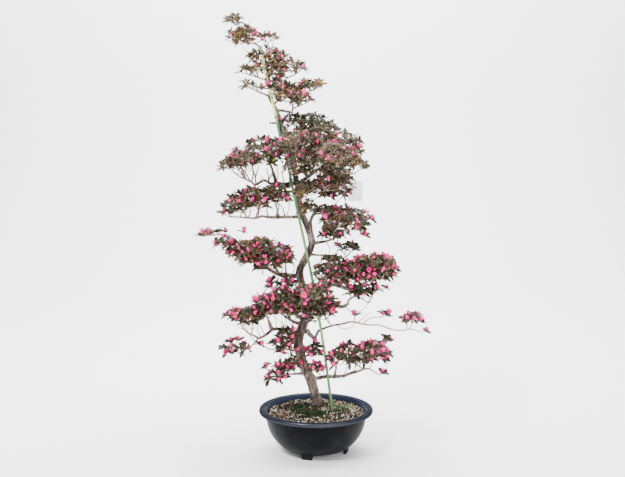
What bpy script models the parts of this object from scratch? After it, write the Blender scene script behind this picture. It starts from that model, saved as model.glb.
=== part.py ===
"""Satsuki azalea bonsai in a round training pot, in metres, +Z up.

The wood and the foliage are set out on a front elevation. Each point there is (across, up, depth)
in millimetres: across and up are what the eye at EYE sees on the plane through AIM, and depth is
the distance behind the middle of the pot.
"""
import math
import random

import bpy
import bmesh
from mathutils import Matrix, Vector

MM = 0.001
TOUCH_GAP = 0.3 * MM

# Front elevation
EYE = Vector((-0.010, -2.680, 0.900))
AIM = Vector((-0.010, 0.000, 0.618))
TRUNK_DEPTH = 32.0
DEPTH_SPREAD = 1.5

# Pot
RIM_RADIUS = 0.165
RIM_TOP = 0.127
MOUTH_RADIUS = 0.141
WALL = 0.0034
FLOOR_Z = 0.0095
BASE_RADIUS = 0.080
BOWL_RADIUS = 0.1445
BOWL_TOP = 0.111
DRAIN_RADIUS = 0.012
POT_STEPS = 32
FOOT_WIDTH = 0.034
FOOT_DEPTH = 0.011
FOOT_RING = 0.0905
FOOT_TURN = math.radians(-16.0)

# Soil
SOIL_EDGE_Z = 0.1130
SOIL_MOUND = 0.0085
SOIL_STEPS = 24
SOIL_GAP = 0.0016

# Stake, ties and tag
STAKE_RADIUS = 0.0040
STAKE_SUNK = 0.055
TIE_RADIUS = 0.0011
TAG_WIDTH = 0.040
TAG_HEIGHT = 0.058
TAG_THICKNESS = 0.0008
TAG_HOLE_RADIUS = 0.0024
EYELET_RADIUS = 0.0036
THREAD_RADIUS = 0.0005
TAG_EYELET = (122.0, 157.0, 16.0)
TAG_TWIG = (122.0, 187.0, 16.0)
TAG_RISE = 0.007
TAG_CORNER = 0.002
EYELET_BORE = 0.0013
EYELET_HALF = 0.0009
EYELET_PLAY = 0.0003
THREAD_FRONT = 0.0030

# Shoots: a leaf, a bud and the twig that carries them
LEAF_LENGTH = 0.0235
LEAF_HALF_WIDTH = 0.0038
BUD_LENGTH = 0.0185
BUD_RADIUS = 0.0052
TWIG_RADIUS = 0.0012
HUB_RADIUS = 0.0021
HUB_HEIGHT = 0.0030
LEAVES = (3, 4, 4)
BUD_SHARE = 0.72
LOBE_DROP = 0.012
END_INSET = 0.0016

# The trunk: (across, up, depth, radius)
TRUNK = [
    (11.4, -470, 40, 14.8), (8, -450, 40, 13.6), (3, -428, 40, 13.8), (-4, -404, 39, 15.2),
    (-15, -380, 38, 15), (-25, -360, 37, 14.5), (-33, -335, 36, 14.5), (-38, -310, 35, 14.8),
    (-41, -287, 34, 14.6), (-34, -264, 33, 14.4), (-24, -237, 31, 13.5), (-19, -206, 30, 13),
    (-22, -160, 28, 12), (-31, -127, 27, 11.5), (-37, -99, 26, 11.2), (-28, -70, 25, 11),
    (-12, -42, 25, 10.8), (-2, -16, 25, 10.2), (-5, 8, 26, 9.6), (-16, 38, 28, 9.2),
    (-29, 68, 30, 9), (-37, 100, 32, 9), (-42, 145, 34, 8.6), (-54, 200, 35, 8),
    (-69, 250, 35, 7.6), (-84, 300, 34, 7.4), (-93, 332, 33, 7.2), (-100, 355, 33, 6.8),
    (-111, 379, 33, 5.2), (-121, 400, 33, 4.6), (-121, 427, 32, 4.2), (-124, 457, 32, 3.9),
    (-129, 487, 32, 3.5), (-135, 514, 32, 3.2), (-146, 540, 32, 2.8), (-160, 551, 32, 2.5),
]

# The limbs: name -> (across, up, depth, radius), from inside what carries it to where a spray starts
LIMBS = {
    "top_right": [(-134, 514, 32, 2.6), (-126, 523, 26, 2.2)],
    "upper_left": [(-124, 452, 32, 3), (-139, 453, 38, 2.4)],
    "upper_right": [(-124, 462, 32, 3.2), (-110, 468, 28, 2.8)],
    "neck_left": [(-121, 402, 33, 3.2), (-134, 409, 36, 2.6)],
    "neck_right": [(-104, 363, 33, 4.2), (-88, 364, 30, 4), (-75, 361, 26, 3.6), (-63, 359, 22, 3.4)],
    "neck_back": [(-111, 379, 33, 3.4), (-101, 391, 46, 2.8)],
    "dome_top": [(-66, 240, 35, 5.5), (-56, 262, 38, 5), (-42, 284, 42, 4.6), (-26, 298, 46, 4.2)],
    "dome_front_left": [(-55, 202, 35, 5.5), (-52, 214, 12, 5), (-50, 226, -12, 4.4)],
    "dome_front_right": [(-43, 152, 34, 6), (-26, 166, 8, 5.6), (-4, 182, -18, 5), (16, 196, -42, 4.4)],
    "dome_back_left": [(-58, 214, 35, 5.5), (-62, 228, 62, 4.8), (-68, 244, 88, 4.2)],
    "dome_back_right": [(-50, 184, 35, 6), (-30, 200, 64, 5.4), (-6, 216, 94, 4.8),
                        (14, 230, 118, 4.2)],
    "dome_right": [(-41, 134, 33, 6.6), (-16, 140, 30, 6.2), (14, 146, 26, 5.6), (44, 154, 22, 5),
                   (62, 168, 20, 4.4)],
    "dome_low": [(30, 150, 24, 4.2), (44, 143, 8, 3.8)],
    "centre_high": [(-33, 84, 31, 4), (-24, 92, 12, 3.4)],
    "left_upper": [(-44, 158, 34, 6.4), (-64, 156, 34, 6), (-84, 154, 31, 5.8), (-102, 157, 24, 5.4),
                   (-118, 156, 16, 4.4), (-136, 165, 8, 4), (-150, 159, 0, 3.8), (-160, 153, -6, 3.5)],
    "left_upper_rise": [(-103, 157, 24, 4.8), (-108, 174, 18, 4.6), (-113, 192, 12, 4.2),
                        (-119, 208, 6, 3.8)],
    "left_level": [(-27, 62, 30, 5.2), (-46, 61, 34, 4.8), (-70, 61, 28, 4.6), (-94, 60, 20, 4.4),
                   (-118, 60, 12, 4.1), (-140, 63, 6, 3.8)],
    "left_level_rise": [(-96, 60, 20, 3.6), (-99, 77, 12, 3)],
    "right_tier": [(-3, 8, 26, 5.2), (-4, 30, 16, 4.9), (-5, 50, 10, 4.8), (4, 70, 4, 4.6),
                   (22, 82, -2, 4.4), (42, 87, -8, 4.2), (60, 90, -12, 3.8)],
    "right_tier_back": [(21, 81, -2, 4), (30, 79, 18, 3.6)],
    "right_tier_low": [(-2, -14, 25, 5), (18, -11, 20, 4.4), (36, -8, 16, 3.9)],
    "right_loop": [(-13, -44, 25, 3.6), (14, -47, 24, 3.1), (44, -47, 22, 2.7)],
    "long_left": [(-35, -104, 26, 7), (-54, -107, 24, 6.6), (-76, -103, 18, 6.2), (-97, -101, 12, 5.8),
                  (-113, -94, 6, 5.5), (-128, -84, 0, 5.2), (-143, -76, -6, 4.8), (-158, -70, -12, 4.4)],
    "long_left_back": [(-97, -101, 12, 4.6), (-101, -89, 30, 4)],
    "left_shoot": [(-75, -103, 18, 3), (-76, -86, 7, 2.6)],
    "left_hang": [(-88, -102, 15, 3.2), (-80, -114, 0, 2.8)],
    "left_inner": [(-25, -240, 31, 5.4), (-48, -239, 26, 4.8), (-64, -230, 24, 4.3), (-80, -219, 24, 3.8)],
    "lower_left": [(-40, -289, 34, 8), (-56, -281, 30, 7.2), (-72, -268, 26, 6.2), (-90, -258, 24, 5.4),
                   (-106, -257, 22, 5), (-119, -262, 20, 4.6), (-133, -274, 17, 4.2),
                   (-147, -282, 14, 3.8)],
    "lower_left_rise": [(-113, -259, 21, 3.8), (-120, -245, 17, 3.4), (-125, -232, 13, 3)],
    "right_mid": [(-23, -162, 28, 7), (0, -149, 24, 6.5), (28, -136, 16, 6.2), (55, -131, 6, 5.9),
                  (78, -136, -2, 5.4), (98, -143, -6, 4.8)],
    "right_mid_rise": [(38, -134, 12, 4.6), (37, -116, -2, 4)],
    "right_mid_back": [(-22, -170, 28, 6), (2, -160, 54, 5.4), (28, -148, 80, 4.8), (52, -136, 104, 4.2)],
    "right_low": [(-20, -206, 30, 6.4), (12, -197, 24, 6), (50, -191, 18, 5.6), (84, -194, 14, 5.2),
                  (97, -188, 10, 4.6)],
    "centre_front": [(-21, -186, 29, 5), (-16, -182, 8, 4.4), (-10, -178, -12, 3.9)],
    "centre_back": [(-20, -195, 30, 5), (-18, -190, 54, 4.4), (-14, -184, 76, 3.9)],
    "low_centre": [(-18, -261, 32, 6.4), (-4, -276, 28, 5.8), (6, -287, 24, 5), (9, -300, 20, 3.8)],
    "long_right": [(7, -284, 24, 4), (12, -272, 23, 3.8), (19, -261, 22, 3.5), (36, -254, 18, 3.3),
                   (58, -247, 8, 3.1), (82, -243, 4, 3), (102, -238, 0, 2.8)],
    "bottom_left": [(-38, -316, 35, 3.8), (-56, -318, 24, 3.2), (-74, -314, 12, 2.8)],
    "bottom_left_low": [(-17, -384, 38, 4.2), (-40, -384, 22, 3.6), (-60, -385, 6, 3)],
    "bottom_right": [(-4, -402, 39, 7), (14, -397, 32, 6), (38, -392, 26, 5.6), (62, -392, 20, 5.2),
                     (88, -390, 14, 4.8), (107, -383, 8, 4.4), (126, -378, 4, 4)],
    "bottom_mid": [(64, -391, 20, 4), (64, -380, 6, 3.4)],
    "trunk_shoot": [(-14, -378, 38, 4), (2, -374, 20, 3)],
}

# The sprays: name -> stems and lobes. A stem is (across, up, depth, radius) and the first goes on
# from the end of the limb of the same name. A lobe is a cloud of shoots: its middle, its half
# sizes across, up and in depth, and how many shoots it holds.
SPRAYS = {
    "top": (
        [[(-178, 556, 30, 2.2), (-194, 565, 28, 2), (-203, 583, 26, 1.8), (-213, 606, 24, 1.6)],
         [(-178, 556, 30, 1.8), (-200, 560, 20, 1.7), (-220, 571, 14, 1.4)]],
        [(-222, 616, 22, 17, 13, 14, 2), (-188, 583, 22, 24, 16, 22, 2),
         (-227, 576, 14, 14, 12, 14, 1)]),
    "top_right": (
        [[(-120, 533, 20, 1.9), (-113, 547, 18, 1.5)], [(-120, 533, 20, 1.6), (-129, 556, 26, 1.4)]],
        [(-126, 566, 22, 24, 12, 18, 2)]),
    "upper_left": (
        [[(-154, 457, 38, 2.2), (-170, 463, 34, 1.9), (-186, 468, 30, 1.5)],
         [(-154, 457, 38, 2), (-160, 478, 34, 1.8), (-164, 500, 30, 1.5)]],
        [(-186, 476, 26, 16, 13, 16, 1), (-160, 482, 22, 14, 16, 18, 1),
         (-164, 514, 24, 16, 11, 16, 2)]),
    "upper_right": (
        [[(-92, 463, 22, 2.4), (-72, 458, 16, 2.1), (-52, 465, 12, 1.8), (-38, 474, 10, 1.5)],
         [(-92, 463, 22, 2.1), (-102, 488, 18, 1.8), (-92, 508, 14, 1.5)]],
        [(-100, 512, 12, 28, 15, 24, 2), (-60, 484, 8, 36, 16, 28, 2),
         (-98, 470, 0, 22, 22, 24, 2)]),
    "neck_left": (
        [[(-149, 414, 34, 2.2), (-165, 422, 29, 1.8), (-180, 430, 24, 1.5)]],
        [(-181, 434, 20, 17, 12, 16, 1), (-145, 430, 18, 22, 13, 20, 2)]),
    "neck_right": (
        [[(-56, 368, 18, 2.8), (-57, 386, 10, 2.4), (-64, 402, 2, 1.8)],
         [(-56, 368, 18, 2.3), (-40, 376, 12, 2), (-24, 382, 6, 1.6)],
         [(-57, 386, 10, 2.1), (-34, 407, 12, 1.9), (-12, 415, 11, 1.8), (6, 424, 9, 1.5)]],
        [(-78, 408, -6, 28, 28, 28, 2), (-30, 394, -4, 26, 14, 24, 2),
         (-22, 428, 8, 20, 12, 18, 1), (12, 434, 6, 14, 10, 14, 1)]),
    "neck_back": (
        [[(-90, 402, 60, 2.2), (-80, 412, 74, 1.7)]],
        [(-76, 420, 82, 28, 24, 26, 2)]),
    "dome_top": (
        [[(-8, 306, 48, 3.4), (10, 316, 46, 2.4)], [(-8, 306, 48, 2.8), (-30, 322, 34, 2)]],
        [(8, 334, 40, 36, 18, 42, 2), (-48, 335, 30, 36, 13, 34, 2), (42, 316, 34, 18, 12, 28, 1)]),
    "dome_front_left": (
        [[(-48, 240, -36, 3.4), (-46, 258, -56, 2.4)], [(-48, 240, -36, 2.8), (-34, 232, -60, 2.2)]],
        [(-52, 270, -62, 42, 36, 36, 2), (-32, 226, -72, 34, 24, 32, 1)]),
    "dome_front_right": (
        [[(34, 212, -62, 3.4), (52, 228, -80, 2.4)], [(34, 212, -62, 2.8), (22, 250, -62, 2.2)]],
        [(48, 236, -86, 42, 32, 38, 2), (20, 282, -58, 36, 32, 34, 2)]),
    "dome_back_left": (
        [[(-72, 258, 112, 3.2), (-72, 272, 134, 2.3)]],
        [(-68, 282, 136, 44, 36, 42, 2)]),
    "dome_back_right": (
        [[(30, 244, 138, 3.2), (46, 258, 156, 2.3)]],
        [(42, 270, 150, 52, 42, 46, 2)]),
    "dome_right": (
        [[(78, 190, 14, 3.4), (92, 210, 8, 2.6), (104, 228, 2, 2)],
         [(78, 190, 14, 3), (76, 224, 24, 2.5), (80, 256, 26, 2)],
         [(78, 190, 14, 2.2), (100, 182, 16, 2), (122, 187, 16, 1.8), (132, 194, 16, 1.5)]],
        [(104, 226, -6, 38, 26, 44, 2), (90, 276, 18, 42, 24, 44, 2), (134, 201, 16, 16, 8, 16, 1)]),
    "dome_low": (
        [[(60, 140, -2, 3), (78, 138, -10, 2.3), (90, 133, -16, 1.8)]],
        [(82, 136, -16, 24, 24, 30, 2)]),
    "centre_high": (
        [[(-18, 102, -8, 2.6), (-18, 114, -26, 2)]],
        [(-34, 120, -32, 30, 24, 24, 2)]),
    "left_upper": (
        [[(-173, 160, -10, 2.9), (-189, 168, -14, 2.5), (-205, 175, -17, 2.2), (-219, 185, -18, 1.9),
          (-229, 196, -18, 1.5)],
         [(-173, 160, -10, 2.4), (-168, 190, -14, 2.1), (-175, 214, -18, 1.7)],
         [(-189, 168, -14, 2.2), (-197, 187, -20, 2), (-206, 208, -24, 1.6)]],
        [(-241, 207, -18, 20, 15, 20, 1), (-202, 230, -26, 28, 18, 32, 2)]),
    "left_upper_rise": (
        [[(-126, 226, 2, 3), (-136, 246, 0, 2.2)], [(-126, 226, 2, 2.5), (-138, 238, 32, 2)]],
        [(-150, 264, -2, 40, 20, 38, 2), (-114, 240, -22, 28, 24, 26, 2),
         (-142, 238, 52, 36, 24, 28, 1)]),
    "left_level": (
        [[(-162, 58, 0, 3.2), (-186, 59, -6, 2.7), (-212, 61, -10, 2.2), (-238, 62, -14, 1.7)],
         [(-162, 58, 0, 2.5), (-154, 84, -2, 2.2), (-160, 106, -6, 1.8)],
         [(-186, 59, -6, 2.3), (-196, 78, -14, 2), (-206, 94, -18, 1.7)]],
        [(-172, 120, -10, 40, 20, 36, 2), (-222, 100, -18, 26, 18, 24, 2),
         (-246, 76, -16, 13, 12, 12, 1)]),
    "left_level_rise": (
        [[(-104, 94, 4, 2.4), (-111, 112, -2, 1.9)]],
        [(-112, 128, -4, 22, 18, 24, 2)]),
    "long_left": (
        [[(-176, -66, -18, 3.8), (-193, -70, -22, 3), (-207, -79, -24, 2)],
         [(-176, -66, -18, 3), (-184, -42, -28, 2.6), (-202, -18, -32, 2.3), (-230, 4, -34, 2),
          (-262, 11, -34, 1.8), (-292, 9, -34, 1.6), (-316, 6, -34, 1.3)],
         [(-176, -66, -18, 2.8), (-160, -44, -32, 2.4), (-150, -24, -42, 1.9)]],
        [(-190, -40, -36, 32, 24, 32, 2), (-146, -26, -44, 32, 24, 30, 2),
         (-252, -14, -34, 20, 18, 20, 2), (-290, 14, -34, 20, 6, 10, 1), (-319, 8, -34, 4, 2, 3, 1)]),
    "long_left_back": (
        [[(-106, -72, 46, 3), (-116, -54, 60, 2.2)]],
        [(-120, -32, 66, 42, 26, 32, 2)]),
    "left_shoot": (
        [[(-77, -70, 2, 2.1), (-78, -56, -2, 1.7)]],
        [(-76, -46, -4, 11, 20, 12, 1)]),
    "left_hang": (
        [[(-73, -130, -12, 2.4), (-73, -148, -20, 1.9)]],
        [(-80, -165, -30, 34, 22, 28, 2), (-112, -134, -16, 18, 16, 16, 1)]),
    "left_inner": (
        [[(-93, -208, 28, 2.8), (-102, -196, 34, 2.1)]],
        [(-98, -184, 42, 34, 22, 32, 2)]),
    "lower_left_rise": (
        [[(-130, -216, 8, 2.5), (-134, -202, 4, 2)]],
        [(-134, -190, -2, 30, 26, 32, 2)]),
    "lower_left": (
        [[(-164, -277, 10, 3), (-184, -267, 6, 2.6), (-198, -252, 2, 2.2), (-206, -236, 0, 1.8)],
         [(-155, -284, 12, 2.5), (-166, -298, 4, 2.3), (-178, -308, 0, 2), (-196, -312, -5, 1.6)]],
        [(-206, -219, -4, 40, 14, 28, 2), (-166, -221, 6, 18, 12, 18, 1),
         (-217, -309, -8, 34, 20, 26, 2)]),
    "bottom_left": (
        [[(-96, -312, 4, 2.3), (-118, -315, 0, 2), (-134, -308, -4, 1.6)]],
        [(-84, -302, -4, 22, 20, 24, 2), (-145, -303, -6, 7, 4, 5, 1)]),
    "bottom_left_low": (
        [[(-80, -390, -4, 2.3), (-99, -396, -10, 1.8)], [(-80, -390, -4, 1.9), (-68, -376, -12, 1.6)]],
        [(-102, -396, -14, 28, 13, 22, 2), (-62, -362, -14, 22, 16, 20, 2),
         (-128, -368, -10, 6, 7, 6, 1)]),
    "right_tier": (
        [[(80, 86, -16, 3.2), (102, 77, -20, 2.7), (124, 64, -24, 2.2), (144, 54, -26, 1.7)],
         [(80, 86, -16, 2.6), (76, 64, -28, 2.3), (74, 44, -34, 1.8)],
         [(102, 77, -20, 2.2), (126, 40, -22, 1.8), (138, 18, -20, 1.5)]],
        [(118, 56, -32, 52, 26, 38, 3), (56, 62, -34, 28, 22, 28, 2), (146, 10, -20, 5, 5, 5, 1)]),
    "right_tier_back": (
        [[(46, 76, 36, 2.8), (68, 72, 54, 2.2)]],
        [(84, 64, 68, 48, 26, 34, 2)]),
    "right_tier_low": (
        [[(52, -4, 12, 3), (68, 4, 8, 2.3), (76, 14, 4, 1.8)]],
        [(56, 12, 2, 30, 12, 24, 2)]),
    "right_loop": (
        [[(62, -53, 20, 2.3), (80, -57, 18, 2.1), (96, -51, 16, 1.9), (107, -40, 14, 1.6)]],
        [(114, -27, 12, 12, 12, 12, 2)]),
    "right_mid": (
        [[(118, -143, -10, 3.6), (140, -131, -14, 3), (164, -119, -18, 2.5), (188, -109, -20, 1.9)],
         [(118, -143, -10, 3), (122, -118, -18, 2.7), (130, -98, -24, 2.1)]],
        [(186, -82, -24, 42, 32, 38, 3), (126, -86, -32, 32, 26, 34, 2),
         (232, -89, -20, 6, 7, 7, 1)]),
    "right_mid_rise": (
        [[(38, -100, -14, 3.2), (48, -84, -24, 2.3)]],
        [(54, -78, -32, 38, 26, 30, 2)]),
    "right_mid_back": (
        [[(76, -124, 122, 3.2), (100, -112, 138, 2.3)]],
        [(98, -96, 134, 64, 28, 42, 2)]),
    "right_low": (
        [[(104, -174, 6, 3.4), (118, -165, 2, 2.8), (136, -160, -2, 2)],
         [(118, -165, 2, 2.3), (142, -171, 6, 2.1), (160, -182, 8, 1.9), (172, -158, 8, 1.6)]],
        [(138, -151, 0, 28, 12, 24, 2), (176, -146, 6, 12, 12, 12, 1), (205, -144, 8, 5, 5, 5, 1)]),
    "centre_front": (
        [[(-4, -174, -30, 3), (4, -168, -48, 2.2)]],
        [(0, -162, -58, 50, 24, 34, 2)]),
    "centre_back": (
        [[(-10, -178, 96, 2.9), (-4, -170, 116, 2.2)]],
        [(-4, -160, 120, 54, 24, 40, 2)]),
    "low_centre": (
        [[(9, -314, 12, 2.7), (6, -328, 6, 2)]],
        [(4, -322, 2, 22, 20, 22, 1)]),
    "long_right": (
        [[(122, -238, -4, 2.5), (143, -243, -6, 2.3), (166, -246, -8, 2.2), (187, -245, -10, 2.1),
          (208, -252, -12, 2), (232, -260, -14, 1.9), (256, -261, -16, 1.8), (278, -257, -16, 1.6),
          (304, -264, -16, 1.3)],
         [(143, -243, -6, 1.7), (156, -230, -10, 1.6), (176, -224, -12, 1.4), (194, -223, -12, 1.3)]],
        [(283, -230, -16, 23, 16, 20, 2), (316, -264, -16, 3, 2, 3, 1), (122, -222, -4, 4, 4, 5, 1),
         (204, -219, -12, 6, 4, 6, 1)]),
    "bottom_right": (
        [[(144, -372, 0, 3.2), (160, -370, -4, 2.6), (173, -377, -8, 2.1), (187, -387, -10, 1.7)],
         [(144, -372, 0, 2.7), (146, -352, -10, 2.4), (154, -332, -18, 2.1), (172, -316, -24, 1.7)],
         [(144, -372, 0, 2.5), (124, -356, -8, 2.2), (108, -338, -12, 1.8)]],
        [(166, -328, -22, 50, 32, 38, 3), (106, -322, -14, 30, 20, 28, 2),
         (212, -290, -16, 8, 10, 8, 1), (198, -384, -10, 6, 4, 5, 1)]),
    "bottom_mid": (
        [[(68, -368, -6, 2.6), (66, -354, -12, 2)]],
        [(58, -356, -14, 26, 16, 24, 1)]),
    "trunk_shoot": (
        [[(12, -370, 8, 2.2)]],
        [(12, -371, 2, 13, 14, 13, 1)]),
}

# The stake: (across, up, depth), from the soil to its top
STAKE = [
    (58.2, -492, -9), (52, -457, -7.8), (43.5, -393, -5.6), (33.5, -317, -3), (17, -217, 0.5),
    (-0.6, -117, 4), (-18.5, -31, 7), (-36.6, 50.6, 9), (-54, 132, 11.2), (-72.4, 221, 13.5),
    (-94, 301, 15.6), (-103.4, 344, 16.7), (-118, 409, 18.4), (-138.3, 495, 20.6), (-147.6, 548, 22),
]
TIES = {"tie_upper": 346.0, "tie_middle": 170.0}


def seen(across, up, depth):
    """The point at a depth that the front elevation shows at (across, up), all in millimetres."""
    forward = (AIM - EYE).normalized()
    right = Vector((1, 0, 0))
    ray = AIM + right * (across * MM) + right.cross(forward) * (up * MM) - EYE
    return EYE + ray * ((depth * MM - EYE.y) / ray.y)


def plan(across, up, depth):
    """The point for a limb, a stem or a shoot: its depth is spread to either side of the trunk's."""
    return seen(across, up, TRUNK_DEPTH + (depth - TRUNK_DEPTH) * DEPTH_SPREAD)


def material(name, colour, roughness, metallic=0.0):
    """A plain Principled material."""
    mat = bpy.data.materials.new(name)
    mat.use_nodes = True
    shader = mat.node_tree.nodes["Principled BSDF"]
    shader.inputs["Base Color"].default_value = (*colour, 1)
    shader.inputs["Roughness"].default_value = roughness
    shader.inputs["Metallic"].default_value = metallic
    return mat


def new_object(name, mesh, collection, mat=None):
    """A mesh object in a collection."""
    obj = bpy.data.objects.new(name, mesh)
    collection.objects.link(obj)
    if mat:
        mesh.materials.append(mat)
    return obj


def mesh_from_bmesh(name, bm):
    """A mesh from a bmesh, with its faces turned outward."""
    bmesh.ops.recalc_face_normals(bm, faces=bm.faces)
    if bm.calc_volume(signed=True) < 0:
        bmesh.ops.reverse_faces(bm, faces=bm.faces)
    mesh = bpy.data.meshes.new(name)
    bm.to_mesh(mesh)
    bm.free()
    return mesh


def smooth(mesh, angle=40):
    """Shade a mesh smooth but for its sharp edges."""
    mesh.shade_smooth()
    mesh.set_sharp_from_angle(angle=math.radians(angle))


def turned(name, profile, steps, collection, mat):
    """A closed (radius, height) outline turned round Z. Its outer side runs down."""
    bm = bmesh.new()
    verts = [bm.verts.new((r, 0, z)) for r, z in profile]
    for a, b in zip(verts, verts[1:] + verts[:1]):
        bm.edges.new((a, b))
    mesh = bpy.data.meshes.new(name)
    bm.to_mesh(mesh)
    bm.free()
    obj = new_object(name, mesh, collection, mat)
    screw = obj.modifiers.new("turn", 'SCREW')
    screw.steps = screw.render_steps = steps
    screw.use_merge_vertices = True
    screw.merge_threshold = 0.00005
    return obj


def apply_modifiers(obj):
    """Replace an object's mesh with the mesh that its modifiers give."""
    graph = bpy.context.evaluated_depsgraph_get()
    mesh = bpy.data.meshes.new_from_object(obj.evaluated_get(graph))
    obj.modifiers.clear()
    obj.data = mesh


def welded_mesh(rough, collection):
    """Replace a curve object with a mesh object whose caps are joined to its sides."""
    name, curve = rough.name, rough.data
    graph = bpy.context.evaluated_depsgraph_get()
    mesh = bpy.data.meshes.new_from_object(rough.evaluated_get(graph))
    mesh.materials.clear()
    bm = bmesh.new()
    bm.from_mesh(mesh)
    bmesh.ops.remove_doubles(bm, verts=bm.verts, dist=0.00001)
    bmesh.ops.recalc_face_normals(bm, faces=bm.faces)
    bm.to_mesh(mesh)
    bm.free()
    placed = rough.matrix_world.copy()
    bpy.data.objects.remove(rough)
    bpy.data.curves.remove(curve)
    obj = bpy.data.objects.new(name, mesh)
    obj.matrix_world = placed
    collection.objects.link(obj)
    return obj


def tube(name, points, resolution, collection, cyclic=False):
    """A closed tube through (point, radius) pairs: a curve with round section, made a mesh."""
    curve = bpy.data.curves.new(name, 'CURVE')
    curve.dimensions = '3D'
    curve.bevel_depth = 1.0
    curve.bevel_resolution = resolution
    curve.use_fill_caps = not cyclic
    spline = curve.splines.new('POLY')
    spline.points.add(len(points) - 1)
    spline.use_cyclic_u = cyclic
    for place, (point, radius) in zip(spline.points, points):
        place.co = (*point, 1)
        place.radius = radius
    rough = bpy.data.objects.new(name, curve)
    collection.objects.link(rough)
    return welded_mesh(rough, collection)


def join(base, bits, operation='UNION', solver='MANIFOLD'):
    """Fuse every object of a collection to a base, or cut them from it, and remove them."""
    boolean = base.modifiers.new("join", 'BOOLEAN')
    boolean.operation = operation
    boolean.operand_type = 'COLLECTION'
    boolean.collection = bits
    boolean.solver = solver
    bpy.context.view_layer.update()
    apply_modifiers(base)
    for obj in list(bits.objects):
        bpy.data.objects.remove(obj)
    bpy.data.collections.remove(bits)


def new_collection(name, parent=None):
    """A collection under the scene or under another."""
    collection = bpy.data.collections.new(name)
    (parent or bpy.context.scene.collection).children.link(collection)
    return collection


def wall_radius(z):
    """Outer radius of the pot's bowl at a height, below the rim."""
    share = min(1.0, (z - FLOOR_Z) / (BOWL_TOP - FLOOR_Z))
    return BASE_RADIUS + (BOWL_RADIUS - BASE_RADIUS) * (1 - (1 - share) ** 2.15) ** 0.72


def bowl_heights():
    """The heights at which the bowl's section has its corners, from the base up."""
    return [FLOOR_Z + (BOWL_TOP - FLOOR_Z) * (k / 5) ** 1.6 for k in range(6)]


def inner_wall(gap=0.0):
    """The inside of the bowl from the floor up, or a line at a gap from it."""
    return [(wall_radius(z) - WALL - gap, z + WALL * (1 - k / 5)) for k, z in enumerate(bowl_heights())]


def pot_outline():
    """Section of the pot: the lip, down the outside, and up the inside."""
    outer = [(wall_radius(z), z) for z in reversed(bowl_heights())]
    lip = [(0.1460, 0.1245), (0.1515, RIM_TOP), (0.1600, RIM_TOP), (RIM_RADIUS, 0.1215),
           (0.1635, 0.1155), (0.1565, 0.1135)]
    floor = [(DRAIN_RADIUS, FLOOR_Z), (DRAIN_RADIUS, FLOOR_Z + WALL)]
    return lip + outer + floor + inner_wall() + [(MOUTH_RADIUS, 0.1180)]


def add_feet(collection):
    """Four feet under the bowl, with tops that lean out along its wall."""
    for turn in range(4):
        bm = bmesh.new()
        bmesh.ops.create_cube(bm, size=1.0)
        for vert in bm.verts:
            top = vert.co.z > 0
            outer = vert.co.y < 0
            width = FOOT_WIDTH * (1.0 if top else 0.86)
            vert.co.x *= width
            vert.co.y = vert.co.y * FOOT_DEPTH * (1.0 if top else 0.72) - FOOT_RING
            vert.co.z = (0.0205 if outer else 0.0120) if top else 0.0
        turned_by = Matrix.Rotation(FOOT_TURN + turn * math.pi / 2, 4, 'Z')
        bmesh.ops.transform(bm, matrix=turned_by, verts=bm.verts)
        new_object("foot_%d" % turn, mesh_from_bmesh("foot", bm), collection)


def make_pot(parts):
    """The pot with its rolled rim, drain hole and moulded feet."""
    mat = material("pot_plastic", (0.035, 0.038, 0.046), 0.42)
    pot = turned("pot", pot_outline(), POT_STEPS, parts, mat)
    apply_modifiers(pot)
    feet = new_collection("feet", parts)
    add_feet(feet)
    join(pot, feet)
    smooth(pot.data, 35)


def soil_height(radius):
    """Height of the soil's gently mounded top."""
    return SOIL_EDGE_Z + SOIL_MOUND * math.cos(min(1.0, radius / 0.125) * math.pi / 2) ** 1.2


def make_soil(parts, trunk_foot, stake_foot):
    """The soil that fills the pot, with plain holes for the trunk and the stake."""
    mat = material("soil_granules", (0.33, 0.24, 0.17), 0.95)
    edge = MOUTH_RADIUS - SOIL_GAP
    top = [(edge * k / 4, soil_height(edge * k / 4)) for k in range(5)]
    outer = inner_wall(SOIL_GAP)[:0:-1]
    base = (outer[-1][0] - 0.018, FLOOR_Z + WALL + TOUCH_GAP)
    soil = turned_solid("soil", top + outer + [base, (0.0, base[1])], SOIL_STEPS, parts, mat)
    holes = new_collection("soil_cutters")
    cut_hole(trunk_foot, holes)
    cut_hole(stake_foot, holes)
    join(soil, holes, 'DIFFERENCE')
    smooth(soil.data, 50)


def turned_solid(name, profile, steps, collection, mat):
    """An outline from the axis out, down and back to the axis, turned round Z."""
    bm = bmesh.new()
    verts = [bm.verts.new((r, 0, z)) for r, z in profile]
    for a, b in zip(verts, verts[1:]):
        bm.edges.new((a, b))
    bmesh.ops.spin(bm, geom=bm.verts[:] + bm.edges[:], axis=(0, 0, 1), cent=(0, 0, 0),
                   angle=2 * math.pi, steps=steps, use_merge=True)
    bmesh.ops.remove_doubles(bm, verts=bm.verts, dist=0.00002)
    return new_object(name, mesh_from_bmesh(name, bm), collection, mat)


def cut_hole(foot, collection):
    """A cylinder round a stem's buried foot: (top, direction down, length, radius)."""
    top, down, length, radius = foot
    bm = bmesh.new()
    reach = 0.030
    bmesh.ops.create_cone(bm, cap_ends=True, segments=12, radius1=radius, radius2=radius,
                          depth=length + reach)
    aim = Matrix.Translation(top + down * ((length - reach) / 2))
    aim = aim @ down.to_track_quat('Z', 'Y').to_matrix().to_4x4()
    bmesh.ops.transform(bm, matrix=aim, verts=bm.verts)
    new_object("hole", mesh_from_bmesh("hole", bm), collection)


def along(points, place=plan):
    """(across, up, depth, radius) points as (point, radius) pairs in metres."""
    return [(place(a, u, d), r * MM) for a, u, d, r in points]


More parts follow.
